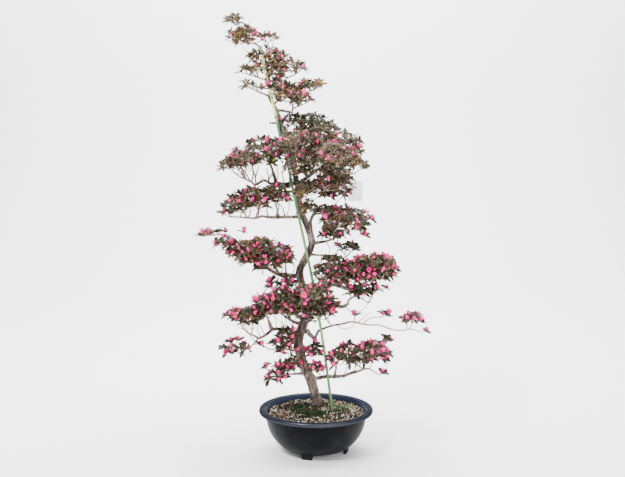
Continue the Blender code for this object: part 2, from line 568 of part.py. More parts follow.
def buried(points, depth_mm):
    """A stem's points with one more below: how it goes on, straight, into the soil."""
    (first, radius), (second, _) = points[0], points[1]
    down = (first - second).normalized()
    return [(first + down * (depth_mm * MM), radius)] + points, down


def trunk_line():
    """The trunk from its flat foot in the soil to its top."""
    points = along(TRUNK, seen)
    straight_foot = (points[0][0] + Vector((0, 0, 0.016)), points[0][1])
    return [(points[0][0] - Vector((0, 0, 0.045)), points[0][1]), straight_foot] + points[1:]


def make_trunk(parts):
    """The trunk and its limbs, up to the flat ends where the sprays go on."""
    mat = material("bark", (0.20, 0.15, 0.115), 0.85)
    trunk = tube("trunk", trunk_line(), 2, parts)
    trunk.data.materials.append(mat)
    limbs = new_collection("limbs", parts)
    for name, points in LIMBS.items():
        thick = max(p[3] for p in points)
        tube(name, along(points), 1 if thick > 5.5 else 0, limbs)
    stub = [(seen(-95, 329, 33), 0.0034), (seen(-123, 328, 30), 0.0030)]
    tube("cut_stub", stub, 0, limbs)
    join(trunk, limbs)
    smooth(trunk.data, 50)


def stem_lines(name):
    """A spray's stems as (point, radius) lists. The first goes straight on from its limb's end."""
    carrier = along(TRUNK, seen) if name == "top" else along(LIMBS[name])
    (before, _), (end, end_radius) = carrier[-2:]
    onward = (end - before).normalized()
    lines = []
    for index, points in enumerate(SPRAYS[name][0]):
        line = along(points)
        if index == 0:
            radius = min(end_radius * 0.94, line[0][1] * 1.2)
            line = [(end + onward * TOUCH_GAP, radius), (end + onward * 0.004, radius)] + line
        lines.append(line)
    return lines


def place_in_lobe(draw, lobe, taken):
    """The best of a few random places in a lobe: the one furthest from the shoots placed so far."""
    across, up, depth, half_across, half_up, half_depth = lobe[:6]
    best, best_room = None, -1.0
    for _ in range(14):
        z = draw.uniform(-0.75, 1.0)
        turn = draw.uniform(0, 2 * math.pi)
        out = draw.uniform(0.45, 1.0) ** 0.5
        ring = math.sqrt(1 - z * z)
        place = plan(across + half_across * out * ring * math.cos(turn), up + half_up * out * z,
                     depth + half_depth * out * ring * math.sin(turn))
        room = min([(place - other).length for other in taken], default=1.0)
        if room > best_room:
            best, best_room = place, room
    return best


def anchor_for(place, anchors):
    """Where a shoot's twig leaves the wood: near, low and not far along its stem."""
    def cost(anchor):
        point, reach = anchor[0], anchor[1]
        drop = max(0.0, point.z - place.z + 0.004)
        near = max(0.0, 0.012 - (place - point).length)
        return (place - point).length + 0.25 * reach + 1.6 * drop + 4 * near
    return min(anchors, key=cost)


def stem_anchors(lines):
    """Points along a spray's stems, with how far each is from the spray's start."""
    anchors = []
    for line in lines:
        reach = 0.0
        for (a, ra), (b, rb) in zip(line, line[1:]):
            steps = max(1, int((b - a).length / 0.008))
            for k in range(1, steps + 1):
                share = k / steps * (1 - END_INSET / (b - a).length)
                anchors.append((a.lerp(b, share), reach + (b - a).length * share, b - a))
            reach += (b - a).length
    return [a for a in anchors if a[1] > 0.010]


def make_shoot(draw, place, anchors, middle):
    """One shoot: its twig's path, its axis, and its leaves and bud."""
    start, reach, heading = anchor_for(place, anchors)
    span = (place - start).length
    bend = start + heading.normalized() * (0.22 * span) + (place - start) * 0.34
    bend.z -= 0.05 * span
    path = [start, (start + 2 * bend + place) * 0.25, place]
    outward = (place - middle).normalized()
    axis = (place - bend).normalized() * 0.7 + Vector((0, 0, 0.75)) + outward * 0.45
    axis += Vector([draw.uniform(-0.25, 0.25) for _ in range(3)])
    return {
        "path": path, "axis": axis.normalized(), "turn": draw.uniform(0, 2 * math.pi),
        "leaves": draw.choice(LEAVES), "size": draw.uniform(0.82, 1.08),
        "bud": draw.random() < BUD_SHARE, "lift": draw.uniform(0.18, 0.55),
        "anchor": (path[1], reach + span * 0.5, place - start),
    }


def spray_shoots(name, lines, space):
    """The shoots of a spray, lobe by lobe: each that has room, on a stem or on an earlier twig."""
    anchors = stem_anchors(lines)
    taken, shoots = [], []
    for index, lobe in enumerate(SPRAYS[name][1]):
        draw = random.Random("%s %d" % (name, index))
        middle = plan(*lobe[:3]) - Vector((0, 0, LOBE_DROP))
        for _ in range(lobe[6]):
            shoot = make_shoot(draw, place_in_lobe(draw, lobe, taken), anchors, middle)
            if fit_shoot(space, name, shoot):
                claim(space, name, shoot)
                taken.append(shoot["path"][2])
                anchors.append(shoot["anchor"])
                shoots.append(shoot)
    return shoots


def closest_gap(a, b, c, d):
    """Least distance between the segments a-b and c-d."""
    u, v, w = b - a, d - c, a - c
    uu, uv, vv, uw, vw = u.dot(u), u.dot(v), v.dot(v), u.dot(w), v.dot(w)
    span = uu * vv - uv * uv
    s = 0.0 if span < 1e-14 else min(1.0, max(0.0, (uv * vw - vv * uw) / span))
    t = (uv * s + vw) / vv if vv > 1e-14 else 0.0
    t = min(1.0, max(0.0, t))
    s = min(1.0, max(0.0, (uv * t - uw) / uu)) if uu > 1e-14 else 0.0
    return (w + u * s - v * t).length


class Space:
    """The room that is taken: capsules, each owned by a node."""

    def __init__(self):
        self.capsules = []

    def add(self, owner, a, b, radius):
        self.capsules.append((owner, a, b, radius))

    def add_line(self, owner, line):
        for (a, ra), (b, rb) in zip(line, line[1:]):
            self.add(owner, a, b, max(ra, rb))

    def near(self, owner, centre, reach):
        """The capsules of other nodes within reach of a point."""
        found = []
        for capsule in self.capsules:
            if capsule[0] != owner:
                _, a, b, radius = capsule
                if closest_gap(centre, centre, a, b) < reach + radius:
                    found.append(capsule)
        return found


def clear_of(capsules, a, b, radius):
    """True if the capsule a-b keeps off all the given ones."""
    return all(closest_gap(a, b, c, d) > radius + r + TOUCH_GAP for _, c, d, r in capsules)


def shoot_frame(shoot):
    """The directions of a shoot's whorl: across, aside and along its axis."""
    axis = shoot["axis"]
    across = axis.orthogonal().normalized()
    across = Matrix.Rotation(shoot["turn"], 3, axis) @ across
    return across, axis.cross(across), axis


def leaf_angles(shoot):
    """Each leaf's turn round the axis: one on each of the hub's corners, the rest between."""
    corners = [math.radians(120 * k) for k in range(3)]
    between = [math.radians(120 * k + 60) for k in range(shoot["leaves"] - 3)]
    return corners, between


def fit_shoot(space, name, shoot):
    """Shorten the leaves that would cross another node. False if the shoot has no room."""
    path, axis = shoot["path"], shoot["axis"]
    hub = path[2]
    others = space.near(name, hub, 0.075)
    for a, b in zip(path, path[1:]):
        if not clear_of(others, a, b, TWIG_RADIUS * 1.3):
            return False
    if not clear_of(others, hub, hub + axis * HUB_HEIGHT, HUB_RADIUS * 1.4):
        return False
    tip = hub + axis * (BUD_LENGTH * shoot["size"])
    if shoot["bud"] and not clear_of(others, hub + axis * 0.006, tip - axis * 0.004, BUD_RADIUS):
        shoot["bud"] = False
    across, aside, axis = shoot_frame(shoot)
    corners, between = leaf_angles(shoot)
    shoot["lengths"] = []
    for angle in corners + between:
        way = across * math.cos(angle) + aside * math.sin(angle)
        way = way * math.cos(shoot["lift"]) + axis * math.sin(shoot["lift"])
        for share in (1.0, 0.78, 0.55, 0.38, 0.26):
            length = LEAF_LENGTH * shoot["size"] * share
            if clear_of(others, hub, hub + way * length, LEAF_HALF_WIDTH * (0.4 + 0.6 * share)):
                shoot["lengths"].append(share)
                break
        else:
            return False
    return True


def claim(space, name, shoot):
    """Take the room of a shoot that has been fitted."""
    path, hub = shoot["path"], shoot["path"][2]
    for a, b in zip(path, path[1:]):
        space.add(name, a, b, TWIG_RADIUS * 1.3)
    across, aside, axis = shoot_frame(shoot)
    if shoot["bud"]:
        space.add(name, hub, hub + axis * (BUD_LENGTH * shoot["size"] - 0.004), BUD_RADIUS)
    corners, between = leaf_angles(shoot)
    for angle, share in zip(corners + between, shoot["lengths"]):
        way = across * math.cos(angle) + aside * math.sin(angle)
        way = way * math.cos(shoot["lift"]) + axis * math.sin(shoot["lift"])
        space.add(name, hub, hub + way * (LEAF_LENGTH * shoot["size"] * share), LEAF_HALF_WIDTH)


def shoot_mesh(shoot):
    """A closed mesh: a three-sided twig, a hub with leaves round it, and a bud or a plain tip."""
    bm = bmesh.new()
    across, aside, axis = shoot_frame(shoot)
    hub = shoot["path"][2]
    size = shoot["size"]

    def spot(angle, radius, height, centre=hub):
        way = across * math.cos(angle) + aside * math.sin(angle)
        return bm.verts.new(centre + way * radius + axis * height)

    corner = [math.radians(120 * k) for k in range(3)]
    rings = []
    for point, following in zip(shoot["path"], shoot["path"][1:]):
        heading = (following - point).normalized()
        ring = []
        for angle in corner:
            way = across * math.cos(angle) + aside * math.sin(angle)
            way = (way - heading * way.dot(heading)).normalized()
            ring.append(bm.verts.new(point + way * TWIG_RADIUS * (1.15 if rings else 0.7)))
        rings.append(ring)
    low = [spot(a, HUB_RADIUS * 0.9, -HUB_HEIGHT / 2) for a in corner]
    high = [spot(a, HUB_RADIUS, HUB_HEIGHT / 2) for a in corner]
    rings.append(low)
    bm.faces.new(rings[0])
    for one, two in zip(rings, rings[1:]):
        for k in range(3):
            bm.faces.new((one[k], one[(k + 1) % 3], two[(k + 1) % 3], two[k]))

    def leaf(angle, share):
        """Right edge, tip and left edge of a leaf."""
        length = LEAF_LENGTH * size * share
        half = LEAF_HALF_WIDTH * size * (0.45 + 0.55 * share)
        lift = shoot["lift"]
        out, up = math.cos(lift), math.sin(lift)
        wide = 0.46 * length
        way = across * math.cos(angle) + aside * math.sin(angle)
        side = axis.cross(way)
        base = hub + way * (wide * out) + axis * (wide * up)
        tip = hub + way * (length * out) + axis * (length * (up - 0.08))
        return [bm.verts.new(p) for p in (base - side * half, tip, base + side * half)]

    corners, between = leaf_angles(shoot)
    leaves = [leaf(a, s) for a, s in zip(corners + between, shoot["lengths"])]
    notch_radius = HUB_RADIUS * 1.05
    for k in range(3):
        step = (k + 1) % 3
        right, tip, left = leaves[k]
        next_right = leaves[step][0]
        for ring, flip in ((high, False), (low, True)):
            add_face(bm, (ring[k], right, tip), flip)
            add_face(bm, (ring[k], tip, left), flip)
        if k < len(between):
            f_right, f_tip, f_left = leaves[3 + k]
            notch_a = spot(corner[k] + math.radians(30), notch_radius, 0)
            notch_b = spot(corner[k] + math.radians(90), notch_radius, 0)
            for ring, flip in ((high, False), (low, True)):
                add_face(bm, (ring[k], left, notch_a), flip)
                add_face(bm, (ring[k], notch_a, f_right), flip)
                add_face(bm, (ring[k], f_right, f_tip), flip)
                add_face(bm, (ring[k], f_tip, ring[step]), flip)
                add_face(bm, (ring[step], f_tip, f_left), flip)
                add_face(bm, (ring[step], f_left, notch_b), flip)
                add_face(bm, (ring[step], notch_b, next_right), flip)
        else:
            notch = spot(corner[k] + math.radians(60), notch_radius * 0.6, 0)
            for ring, flip in ((high, False), (low, True)):
                add_face(bm, (ring[k], left, notch), flip)
                add_face(bm, (ring[k], notch, ring[step]), flip)
                add_face(bm, (ring[step], notch, next_right), flip)
    if shoot["bud"]:
        belly = [spot(a + math.pi / 3, BUD_RADIUS * size, BUD_LENGTH * size * 0.42) for a in corner]
        point = bm.verts.new(hub + axis * (BUD_LENGTH * size))
        for k in range(3):
            step = (k + 1) % 3
            bm.faces.new((high[k], belly[k], high[step]))
            bm.faces.new((high[step], belly[k], belly[step]))
            bm.faces.new((belly[k], point, belly[step]))
    else:
        point = bm.verts.new(hub + axis * 0.005)
        for k in range(3):
            bm.faces.new((high[k], high[(k + 1) % 3], point))
    return mesh_from_bmesh("shoot", bm)


def add_face(bm, corners, flip):
    """A triangle, turned over for the underside."""
    bm.faces.new(tuple(reversed(corners)) if flip else corners)


def make_spray(name, parts, mat, space):
    """A spray: its stems and every shoot that has room, fused in one body."""
    node = "spray_" + name
    lines = stem_lines(name)
    bits = new_collection(node + "_bits", parts)
    spray = tube(node, lines[0], 0, parts)
    for index, line in enumerate(lines[1:]):
        tube("%s_stem_%d" % (node, index), line, 0, bits)
    for index, shoot in enumerate(spray_shoots(name, lines, space)):
        new_object("%s_shoot_%d" % (node, index), shoot_mesh(shoot), bits)
    join(spray, bits)
    spray.data.materials.append(mat)
    spray.data.shade_flat()


def make_sprays(parts, space):
    """All the sprays, in an order that gives the stems their room first."""
    mat = material("azalea_leaf", (0.10, 0.13, 0.05), 0.6)
    for name in SPRAYS:
        for line in stem_lines(name):
            space.add_line(name, line)
    for name in SPRAYS:
        make_spray(name, parts, mat, space)


def stake_line():
    """The stake from its foot in the soil to its top."""
    points = [(seen(a, u, d), STAKE_RADIUS) for a, u, d in STAKE]
    return buried(points, STAKE_SUNK / MM)


def make_stake(parts):
    """The plastic-coated garden stake, bowed a little."""
    line, _ = stake_line()
    stake = tube("stake", line, 1, parts)
    stake.data.materials.append(material("stake_plastic", (0.33, 0.50, 0.26), 0.4))
    smooth(stake.data, 60)


def cross_plane(line, point, normal):
    """Where a line of (point, radius) pairs crosses a plane."""
    for (a, ra), (b, rb) in zip(line, line[1:]):
        da, db = (a - point).dot(normal), (b - point).dot(normal)
        if da * db <= 0:
            return a.lerp(b, da / (da - db)), max(ra, rb)
    raise ValueError("the line does not cross the plane")


def make_tie(name, up, trunk, stake, parts, mat):
    """A loop of wire round the trunk and the stake at one height of the front elevation."""
    low = max(k for k, p in enumerate(TRUNK) if p[1] <= up)
    share = (up - TRUNK[low][1]) / (TRUNK[low + 1][1] - TRUNK[low][1])
    a, b = along(TRUNK[low:low + 2], seen)
    centre = a[0].lerp(b[0], share)
    normal = (b[0] - a[0]).normalized()
    post, _ = cross_plane(stake, centre, normal)
    trunk_ring = max(a[1], b[1]) * 1.06 + TOUCH_GAP + TIE_RADIUS
    stake_ring = STAKE_RADIUS * 1.05 + TOUCH_GAP + TIE_RADIUS
    line = post - centre
    span = line.length
    line.normalize()
    side = normal.cross(line)
    lean = math.asin((trunk_ring - stake_ring) / span)
    loop = []
    for k in range(9):
        angle = math.pi / 2 - lean + (math.pi + 2 * lean) * k / 8
        loop.append(centre + (line * math.cos(angle) + side * math.sin(angle)) * trunk_ring)
    for k in range(6):
        angle = -math.pi / 2 - lean + (math.pi + 2 * lean) * k / 5
        loop.append(post + (line * math.cos(angle) + side * math.sin(angle)) * stake_ring)
    loop = [(point, TIE_RADIUS) for point in loop]
    tie = tube(name, loop, 0, parts, cyclic=True)
    tie.data.materials.append(mat)
    return loop + loop[:1]


def make_tag(parts):
    """The bare hang tag on its thread, with its eyelet."""
    centre = plan(*TAG_EYELET)
    card = bpy.data.curves.new("hang_tag", 'CURVE')
    card.dimensions = '2D'
    card.fill_mode = 'BOTH'
    card.extrude = TAG_THICKNESS / 2
    half = TAG_WIDTH / 2
    low = TAG_RISE - TAG_HEIGHT
    outline = [(-half + TAG_CORNER, TAG_RISE), (half - TAG_CORNER, TAG_RISE),
               (half, TAG_RISE - TAG_CORNER), (half, low + TAG_CORNER),
               (half - TAG_CORNER, low), (-half + TAG_CORNER, low),
               (-half, low + TAG_CORNER), (-half, TAG_RISE - TAG_CORNER)]
    hole = [(TAG_HOLE_RADIUS * math.cos(math.radians(30 * k)),
             TAG_HOLE_RADIUS * math.sin(math.radians(30 * k))) for k in range(12)]
    for ring in (outline, hole):
        spline = card.splines.new('POLY')
        spline.points.add(len(ring) - 1)
        spline.use_cyclic_u = True
        for place, (x, y) in zip(spline.points, ring):
            place.co = (x, y, 0, 1)
    tag = bpy.data.objects.new("hang_tag", card)
    parts.objects.link(tag)
    tag = welded_mesh(tag, parts)
    tag.data.materials.append(material("tag_card", (0.90, 0.91, 0.90), 0.5))
    tag.matrix_world = Matrix.Translation(centre) @ Matrix.Rotation(math.pi / 2, 4, 'X')
    flange = TAG_THICKNESS / 2 + TOUCH_GAP / 3
    barrel = TAG_HOLE_RADIUS - EYELET_PLAY
    profile = [(EYELET_BORE, EYELET_HALF), (EYELET_RADIUS, EYELET_HALF), (EYELET_RADIUS, flange),
               (barrel, flange), (barrel, -EYELET_HALF), (EYELET_BORE, -EYELET_HALF)]
    mat = material("eyelet_metal", (0.05, 0.05, 0.055), 0.35, 0.8)
    eyelet = turned("tag_eyelet", profile, 10, parts, mat)
    eyelet.matrix_world = Matrix.Translation(centre) @ Matrix.Rotation(math.pi / 2, 4, 'X')
    twig = plan(*TAG_TWIG)
    line = [centre + Vector((0, -0.0016, 0)), centre + Vector((0, -0.0022, 0.004)),
            twig + Vector((0, -0.0024, -0.005)), twig + Vector((0, -THREAD_FRONT, 0)),
            twig + Vector((0, 0, THREAD_FRONT + 0.0002))]
    string = tube("tag_thread", [(point, THREAD_RADIUS) for point in line], 0, parts)
    string.data.materials.append(material("thread", (0.75, 0.76, 0.74), 0.8))


def stand_on_origin(parts):
    """Move everything so that the origin is at the middle of the base of the whole."""
    bpy.context.view_layer.update()
    graph = bpy.context.evaluated_depsgraph_get()
    low = Vector((1e9, 1e9, 1e9))
    high = -low
    for obj in parts.all_objects:
        mesh = obj.evaluated_get(graph).to_mesh()
        for vert in mesh.vertices:
            place = obj.matrix_world @ vert.co
            low = Vector(map(min, low, place))
            high = Vector(map(max, high, place))
    shift = Vector((-(low.x + high.x) / 2, -(low.y + high.y) / 2, -low.z))
    for obj in parts.all_objects:
        obj.matrix_world = Matrix.Translation(shift) @ obj.matrix_world


def main():
    for obj in list(bpy.data.objects):
        bpy.data.objects.remove(obj)
    parts = new_collection("satsuki_azalea_bonsai")
    make_pot(parts)
    make_trunk(parts)
    make_stake(parts)
    trunk, (stake, stake_down) = trunk_line(), stake_line()
    trunk_foot = (trunk[1][0], Vector((0, 0, -1)), 0.061 + TOUCH_GAP, trunk[0][1] * 1.03 + TOUCH_GAP)
    stake_foot = (stake[1][0], stake_down, STAKE_SUNK + TOUCH_GAP, STAKE_RADIUS * 1.05 + TOUCH_GAP)
    make_soil(parts, trunk_foot, stake_foot)
    space = Space()
    mat = material("tie_wire", (0.12, 0.09, 0.06), 0.6)
    for name, up in TIES.items():
        space.add_line(name, make_tie(name, up, trunk, stake, parts, mat))
    make_tag(parts)
    space.add_line("trunk", trunk)
    for points in LIMBS.values():
        space.add_line("trunk", along(points))
    space.add_line("stake", stake)
    eyelet = plan(*TAG_EYELET)
    space.add("hang_tag", eyelet, eyelet - Vector((0, 0, TAG_HEIGHT - 0.026)), TAG_WIDTH / 2)
    space.add("tag_thread", eyelet, plan(*TAG_TWIG), THREAD_FRONT)
    make_sprays(parts, space)
    stand_on_origin(parts)


main()
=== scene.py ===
"""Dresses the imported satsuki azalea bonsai: bark, leaves, flower buds, soil grains, pot and stage.

The wood and the foliage are set out on a front elevation, as in the part's own source. Each point
there is (across, up, depth) in millimetres: across and up are what the camera sees on the plane
through AIM, and depth is the distance behind the middle of the pot.
"""

import math
import random

import bpy
import bmesh
import numpy as np
from mathutils import Matrix, Vector, noise


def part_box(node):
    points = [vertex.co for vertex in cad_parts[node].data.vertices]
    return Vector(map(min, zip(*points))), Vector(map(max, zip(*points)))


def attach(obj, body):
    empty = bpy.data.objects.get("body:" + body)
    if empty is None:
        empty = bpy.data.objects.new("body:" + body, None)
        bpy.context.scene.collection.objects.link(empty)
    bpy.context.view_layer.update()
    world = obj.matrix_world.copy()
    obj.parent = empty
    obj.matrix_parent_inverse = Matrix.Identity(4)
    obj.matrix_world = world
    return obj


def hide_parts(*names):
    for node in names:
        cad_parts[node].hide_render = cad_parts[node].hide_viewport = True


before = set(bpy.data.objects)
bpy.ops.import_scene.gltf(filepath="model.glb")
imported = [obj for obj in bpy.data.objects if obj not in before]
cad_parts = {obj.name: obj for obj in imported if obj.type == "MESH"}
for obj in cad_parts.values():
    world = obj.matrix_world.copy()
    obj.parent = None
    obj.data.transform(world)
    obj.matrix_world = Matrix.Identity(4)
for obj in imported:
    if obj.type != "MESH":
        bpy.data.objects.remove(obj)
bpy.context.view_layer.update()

bl_info = {
    "name": "Satsuki azalea bonsai",
    "version": (1, 0, 0),
    "blender": (4, 5, 0),
    "location": "View3D > Sidebar > Bonsai",
    "description": "Builds the visible pieces of a potted satsuki azalea bonsai",
    "category": "Add Mesh",
}

MM = 0.001
TOUCH_GAP = 0.3 * MM

# Front elevation
POT_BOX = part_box("pot")
SHIFT = Vector(((POT_BOX[0][0] + POT_BOX[1][0]) / 2, (POT_BOX[0][1] + POT_BOX[1][1]) / 2, 0.0))
EYE = Vector((-0.010, -2.680, 0.900))
AIM = Vector((-0.010, 0.000, 0.618))
TRUNK_DEPTH = 32.0
DEPTH_SPREAD = 1.5
LENS = 54.65

# Pot and soil
RIM_RADIUS = 0.165
RIM_TOP = 0.127
MOUTH_RADIUS = 0.141
WALL = 0.0034
FLOOR_Z = 0.0095
BASE_RADIUS = 0.080
BOWL_RADIUS = 0.1445
BOWL_TOP = 0.111
DRAIN_RADIUS = 0.012
FOOT_WIDTH = 0.034
FOOT_DEPTH = 0.011
FOOT_RING = 0.0905
FOOT_TURN = math.radians(-16.0)
FOOT_TAPER = (0.86, 0.72)
FOOT_TOP_OUTSIDE = 0.0205
FOOT_TOP_INSIDE = 0.0120
FOOT_EDGE = 0.0014
SOIL_EDGE_Z = 0.1130
SOIL_MOUND = 0.0085
SOIL_GAP = 0.0016
SOIL_ROWS = 38
SOIL_STEPS = 96
SOIL_SIDE = (0.105, 0.085, 0.06, 0.035, 0.019)
POT_STEPS = 128
BOWL_ROWS = 26
PINHOLE = 0.0002

# The rolled rim's section, from inside to outside, as (radius, height)
LIP = [
    (0.1430, 0.1196), (0.1440, 0.1226), (0.1460, 0.1252), (0.1495, 0.1267), (0.1540, RIM_TOP),
    (0.1590, RIM_TOP - 0.0001), (0.1625, 0.1258), (0.1645, 0.1236), (RIM_RADIUS, 0.1208),
    (0.1646, 0.1178), (0.1630, 0.1154), (0.1605, 0.1142), (0.1570, 0.1138), (0.1480, 0.1136),
]

# Stake, ties and tag
STAKE_RADIUS = 0.0040
STAKE_SUNK = 0.055
KNOB_PITCH = 0.014
KNOB_HEIGHT = 0.10
TIE_RADIUS = 0.0011
TWIST_POINTS = 13
TWIST_STEP = 0.0011
TWIST_TURN = 1.1
TWIST_OFFSET = 0.0007
TWIST_RADIUS = TIE_RADIUS * 0.62
TAG_WIDTH = 0.040
TAG_HEIGHT = 0.058
TAG_THICKNESS = 0.0008
TAG_HOLE_RADIUS = 0.0024
TAG_TOP = 0.007
TAG_CORNER = 0.002
TAG_BEVEL = 0.0001
# The card glows: painted light that lifts it to the white of the backdrop
TAG_GLOW = 0.95
EYELET_RADIUS = 0.0036
THREAD_RADIUS = 0.00045

# The eyelet's section, as (radius, height over the card's middle)
EYELET_SECTION = [
    (0.0014, 0.0009), (0.0022, 0.00118), (0.0030, 0.0011), (EYELET_RADIUS, 0.0008),
    (0.0034, 0.0005), (TAG_HOLE_RADIUS - 0.0003, 0.0005), (TAG_HOLE_RADIUS - 0.0003, -0.0009),
    (0.0014, -0.0009),
]
TAG_EYELET = (122.0, 157.0, 16.0)
TAG_TWIG = (122.0, 187.0, 16.0)

# Leaves, buds and twigs, and how shoots fill a spray's lobes
LEAF_LENGTH = 0.0235
LEAF_HALF_WIDTH = 0.0038
LEAF_FOLD = 0.30
LEAF_THICKNESS = 0.00028
LEAF_ROOT_THICKNESS = 0.0002
BUD_LENGTH = 0.0185
BUD_RADIUS = 0.0052
BUD_STALK = 0.0022
TWIG_RADIUS = 0.0012
HUB_RADIUS = 0.0021
HUB_HEIGHT = 0.0030
LEAVES = (3, 4, 4)
SHORTER_LEAVES = (3, 4, 4)
BUD_SHARE = 0.72
TWIN_SHARE = 0.48
YELLOWED_SHARE = 0.05
LOBE_DROP = 0.012
END_INSET = 0.0016
LOBE_TRIES = 14
LOBE_BOTTOM = -0.75
LOBE_CORE = 0.45
ANCHOR_STEP = 0.008
BARE_STEM = 0.010
NEIGHBOUR_REACH = 0.075
TWIG_ROOM = TWIG_RADIUS * 1.3
LEAF_SHARES = (1.0, 0.78, 0.55, 0.38, 0.26)
LEAF_TIP_SHARE = 0.4

# Where a look changes with height, as (start, span): the buds get paler, the shoots smaller and
# the leaves warmer
PALE_FROM = (0.93, 0.10)
SMALL_FROM = (0.45, 0.6)
WARM_FROM = (0.38, 0.20)

# Sides of each kind of tube and the spacing of its rings
TRUNK_TUBE = (26, 0.0032)
LIMB_TUBE = (12, 0.0034)
STUB_TUBE = (10, 0.003)
STEM_TUBE = (8, 0.0045)
FORK_TUBE = (7, 0.003)
FINE_TUBE = (5, 0.0036)
TWIG_TUBE = (5, 0.008)
BUD_STALK_TUBE = (6, 0.004)
WEED_TUBE = (4, 0.004)
STAKE_TUBE = (14, 0.0020)
WIRE_TUBE = (10, 0.0015)
WIRE_END_TUBE = (6, 0.0008)
THREAD_TUBE = (6, 0.0012)

# Material slots of a spray's leaves and buds, after the twigs' own
LEAF, BUD = 1, 2

# Lumps of the bark and of the soil's top, as (waves a metre, height), and the bark's ridges
BARK_LUMPS = (55, 0.16)
RIDGES_ACROSS = 300
RIDGES_ALONG = 70
RIDGE_HEIGHT = 0.10
SOIL_SWELL = (38, 0.0028)
SOIL_CLODS = (130, 0.0012)

# Grains: their sizes, and their tones on plain soil, under bark chips, in a painted shadow at the
# left, and in painted shade by the trunk's foot and the moss, with each patch's middle and reach
GRAIN_SIZES = (0.0010, 0.0012, 0.0014, 0.0017, 0.0021, 0.0026)
PLAIN_KINDS = (0.0, 0.03, 0.06, 0.10, 0.14, 0.20, 0.30, 0.40, 0.55, 0.68, 0.82, 0.90, 0.98)
BARK_KINDS = (0.16, 0.36, 0.40, 0.55)
SHADOW_KINDS = (0.0, 0.0, 0.02, 0.04, 0.08, 0.20, 0.60)
FOOT_SHADE_KINDS = (0.0, 0.04, 0.08, 0.16, 0.30, 0.50)
BARK_HEAP = (-92, -500)
BARK_HEAP_REACH = 0.030
SHADOW_PATCH = (-60, -474)
SHADOW_PATCH_REACH = 0.050
FOOT_SHADE_REACH = 0.034
MOSS_SHADE = (-8, -498)
SPIRAL_TURN = 2.39996
GRAINS_CLEAR_OF_TRUNK = 0.0155
MOSS_CLEAR_OF_TRUNK = 0.014

# Beds of moss as (middle, reach, tufts), with None for the trunk's foot, and clumps of weeds as
# (middle, sprigs, freshness)
MOSS_BEDS = [
    ((-8, -500), 0.034, 300), ((20, -508), 0.022, 110), ((-38, -488), 0.024, 120),
    ((64, -492), 0.016, 70), ((-30, -478), 0.020, 80), (None, 0.026, 130), ((38, -470), 0.022, 60),
]
WEEDS = [
    ((82, -488), 22, 0.9), ((64, -482), 16, 0.8), ((96, -486), 12, 1.0), ((4, -503), 14, 0.35),
    ((-26, -500), 14, 0.3), ((28, -500), 10, 0.5), ((-52, -492), 8, 0.3), ((104, -472), 8, 0.8),
]
BLADES_IN_TUFT = 7

# Lights, as (size, place, aim), with the power of the last two as shares of the first
KEY_LIGHT = (0.8, (-1.5, -2.0, 3.0), (0.0, 0.0, 0.6))
FILL_LIGHT = (2.2, (1.2, -2.8, 0.7), (0.0, 0.0, 0.6))
BACKDROP_LIGHT = (3.6, (0.0, 0.9, 3.9), (0.0, 3.2, 0.9))
FILL_SHARE = 0.55
BACKDROP_SHARE = 3.8

# Floor and backdrop
FLOOR_FRONT = -5.0
SWEEP_START = 2.2
SWEEP_RADIUS = 1.2
BACKDROP_TOP = 6.0
FLOOR_HALF_WIDTH = 9.0

# The trunk and its limbs, as (across, up, depth, radius)
TRUNK = [
    (11.4, -470, 40, 14.8), (8, -450, 40, 13.6), (3, -428, 40, 13.8), (-4, -404, 39, 15.2),
    (-15, -380, 38, 15), (-25, -360, 37, 14.5), (-33, -335, 36, 14.5), (-38, -310, 35, 14.8),
    (-41, -287, 34, 14.6), (-34, -264, 33, 14.4), (-24, -237, 31, 13.5), (-19, -206, 30, 13),
    (-22, -160, 28, 12), (-31, -127, 27, 11.5), (-37, -99, 26, 11.2), (-28, -70, 25, 11),
    (-12, -42, 25, 10.8), (-2, -16, 25, 10.2), (-5, 8, 26, 9.6), (-16, 38, 28, 9.2),
    (-29, 68, 30, 9), (-37, 100, 32, 9), (-42, 145, 34, 8.6), (-54, 200, 35, 8),
    (-69, 250, 35, 7.6), (-84, 300, 34, 7.4), (-93, 332, 33, 7.2), (-100, 355, 33, 6.8),
    (-111, 379, 33, 5.2), (-121, 400, 33, 4.6), (-121, 427, 32, 4.2), (-124, 457, 32, 3.9),
    (-129, 487, 32, 3.5), (-135, 514, 32, 3.2), (-146, 540, 32, 2.8), (-160, 551, 32, 2.5),
]
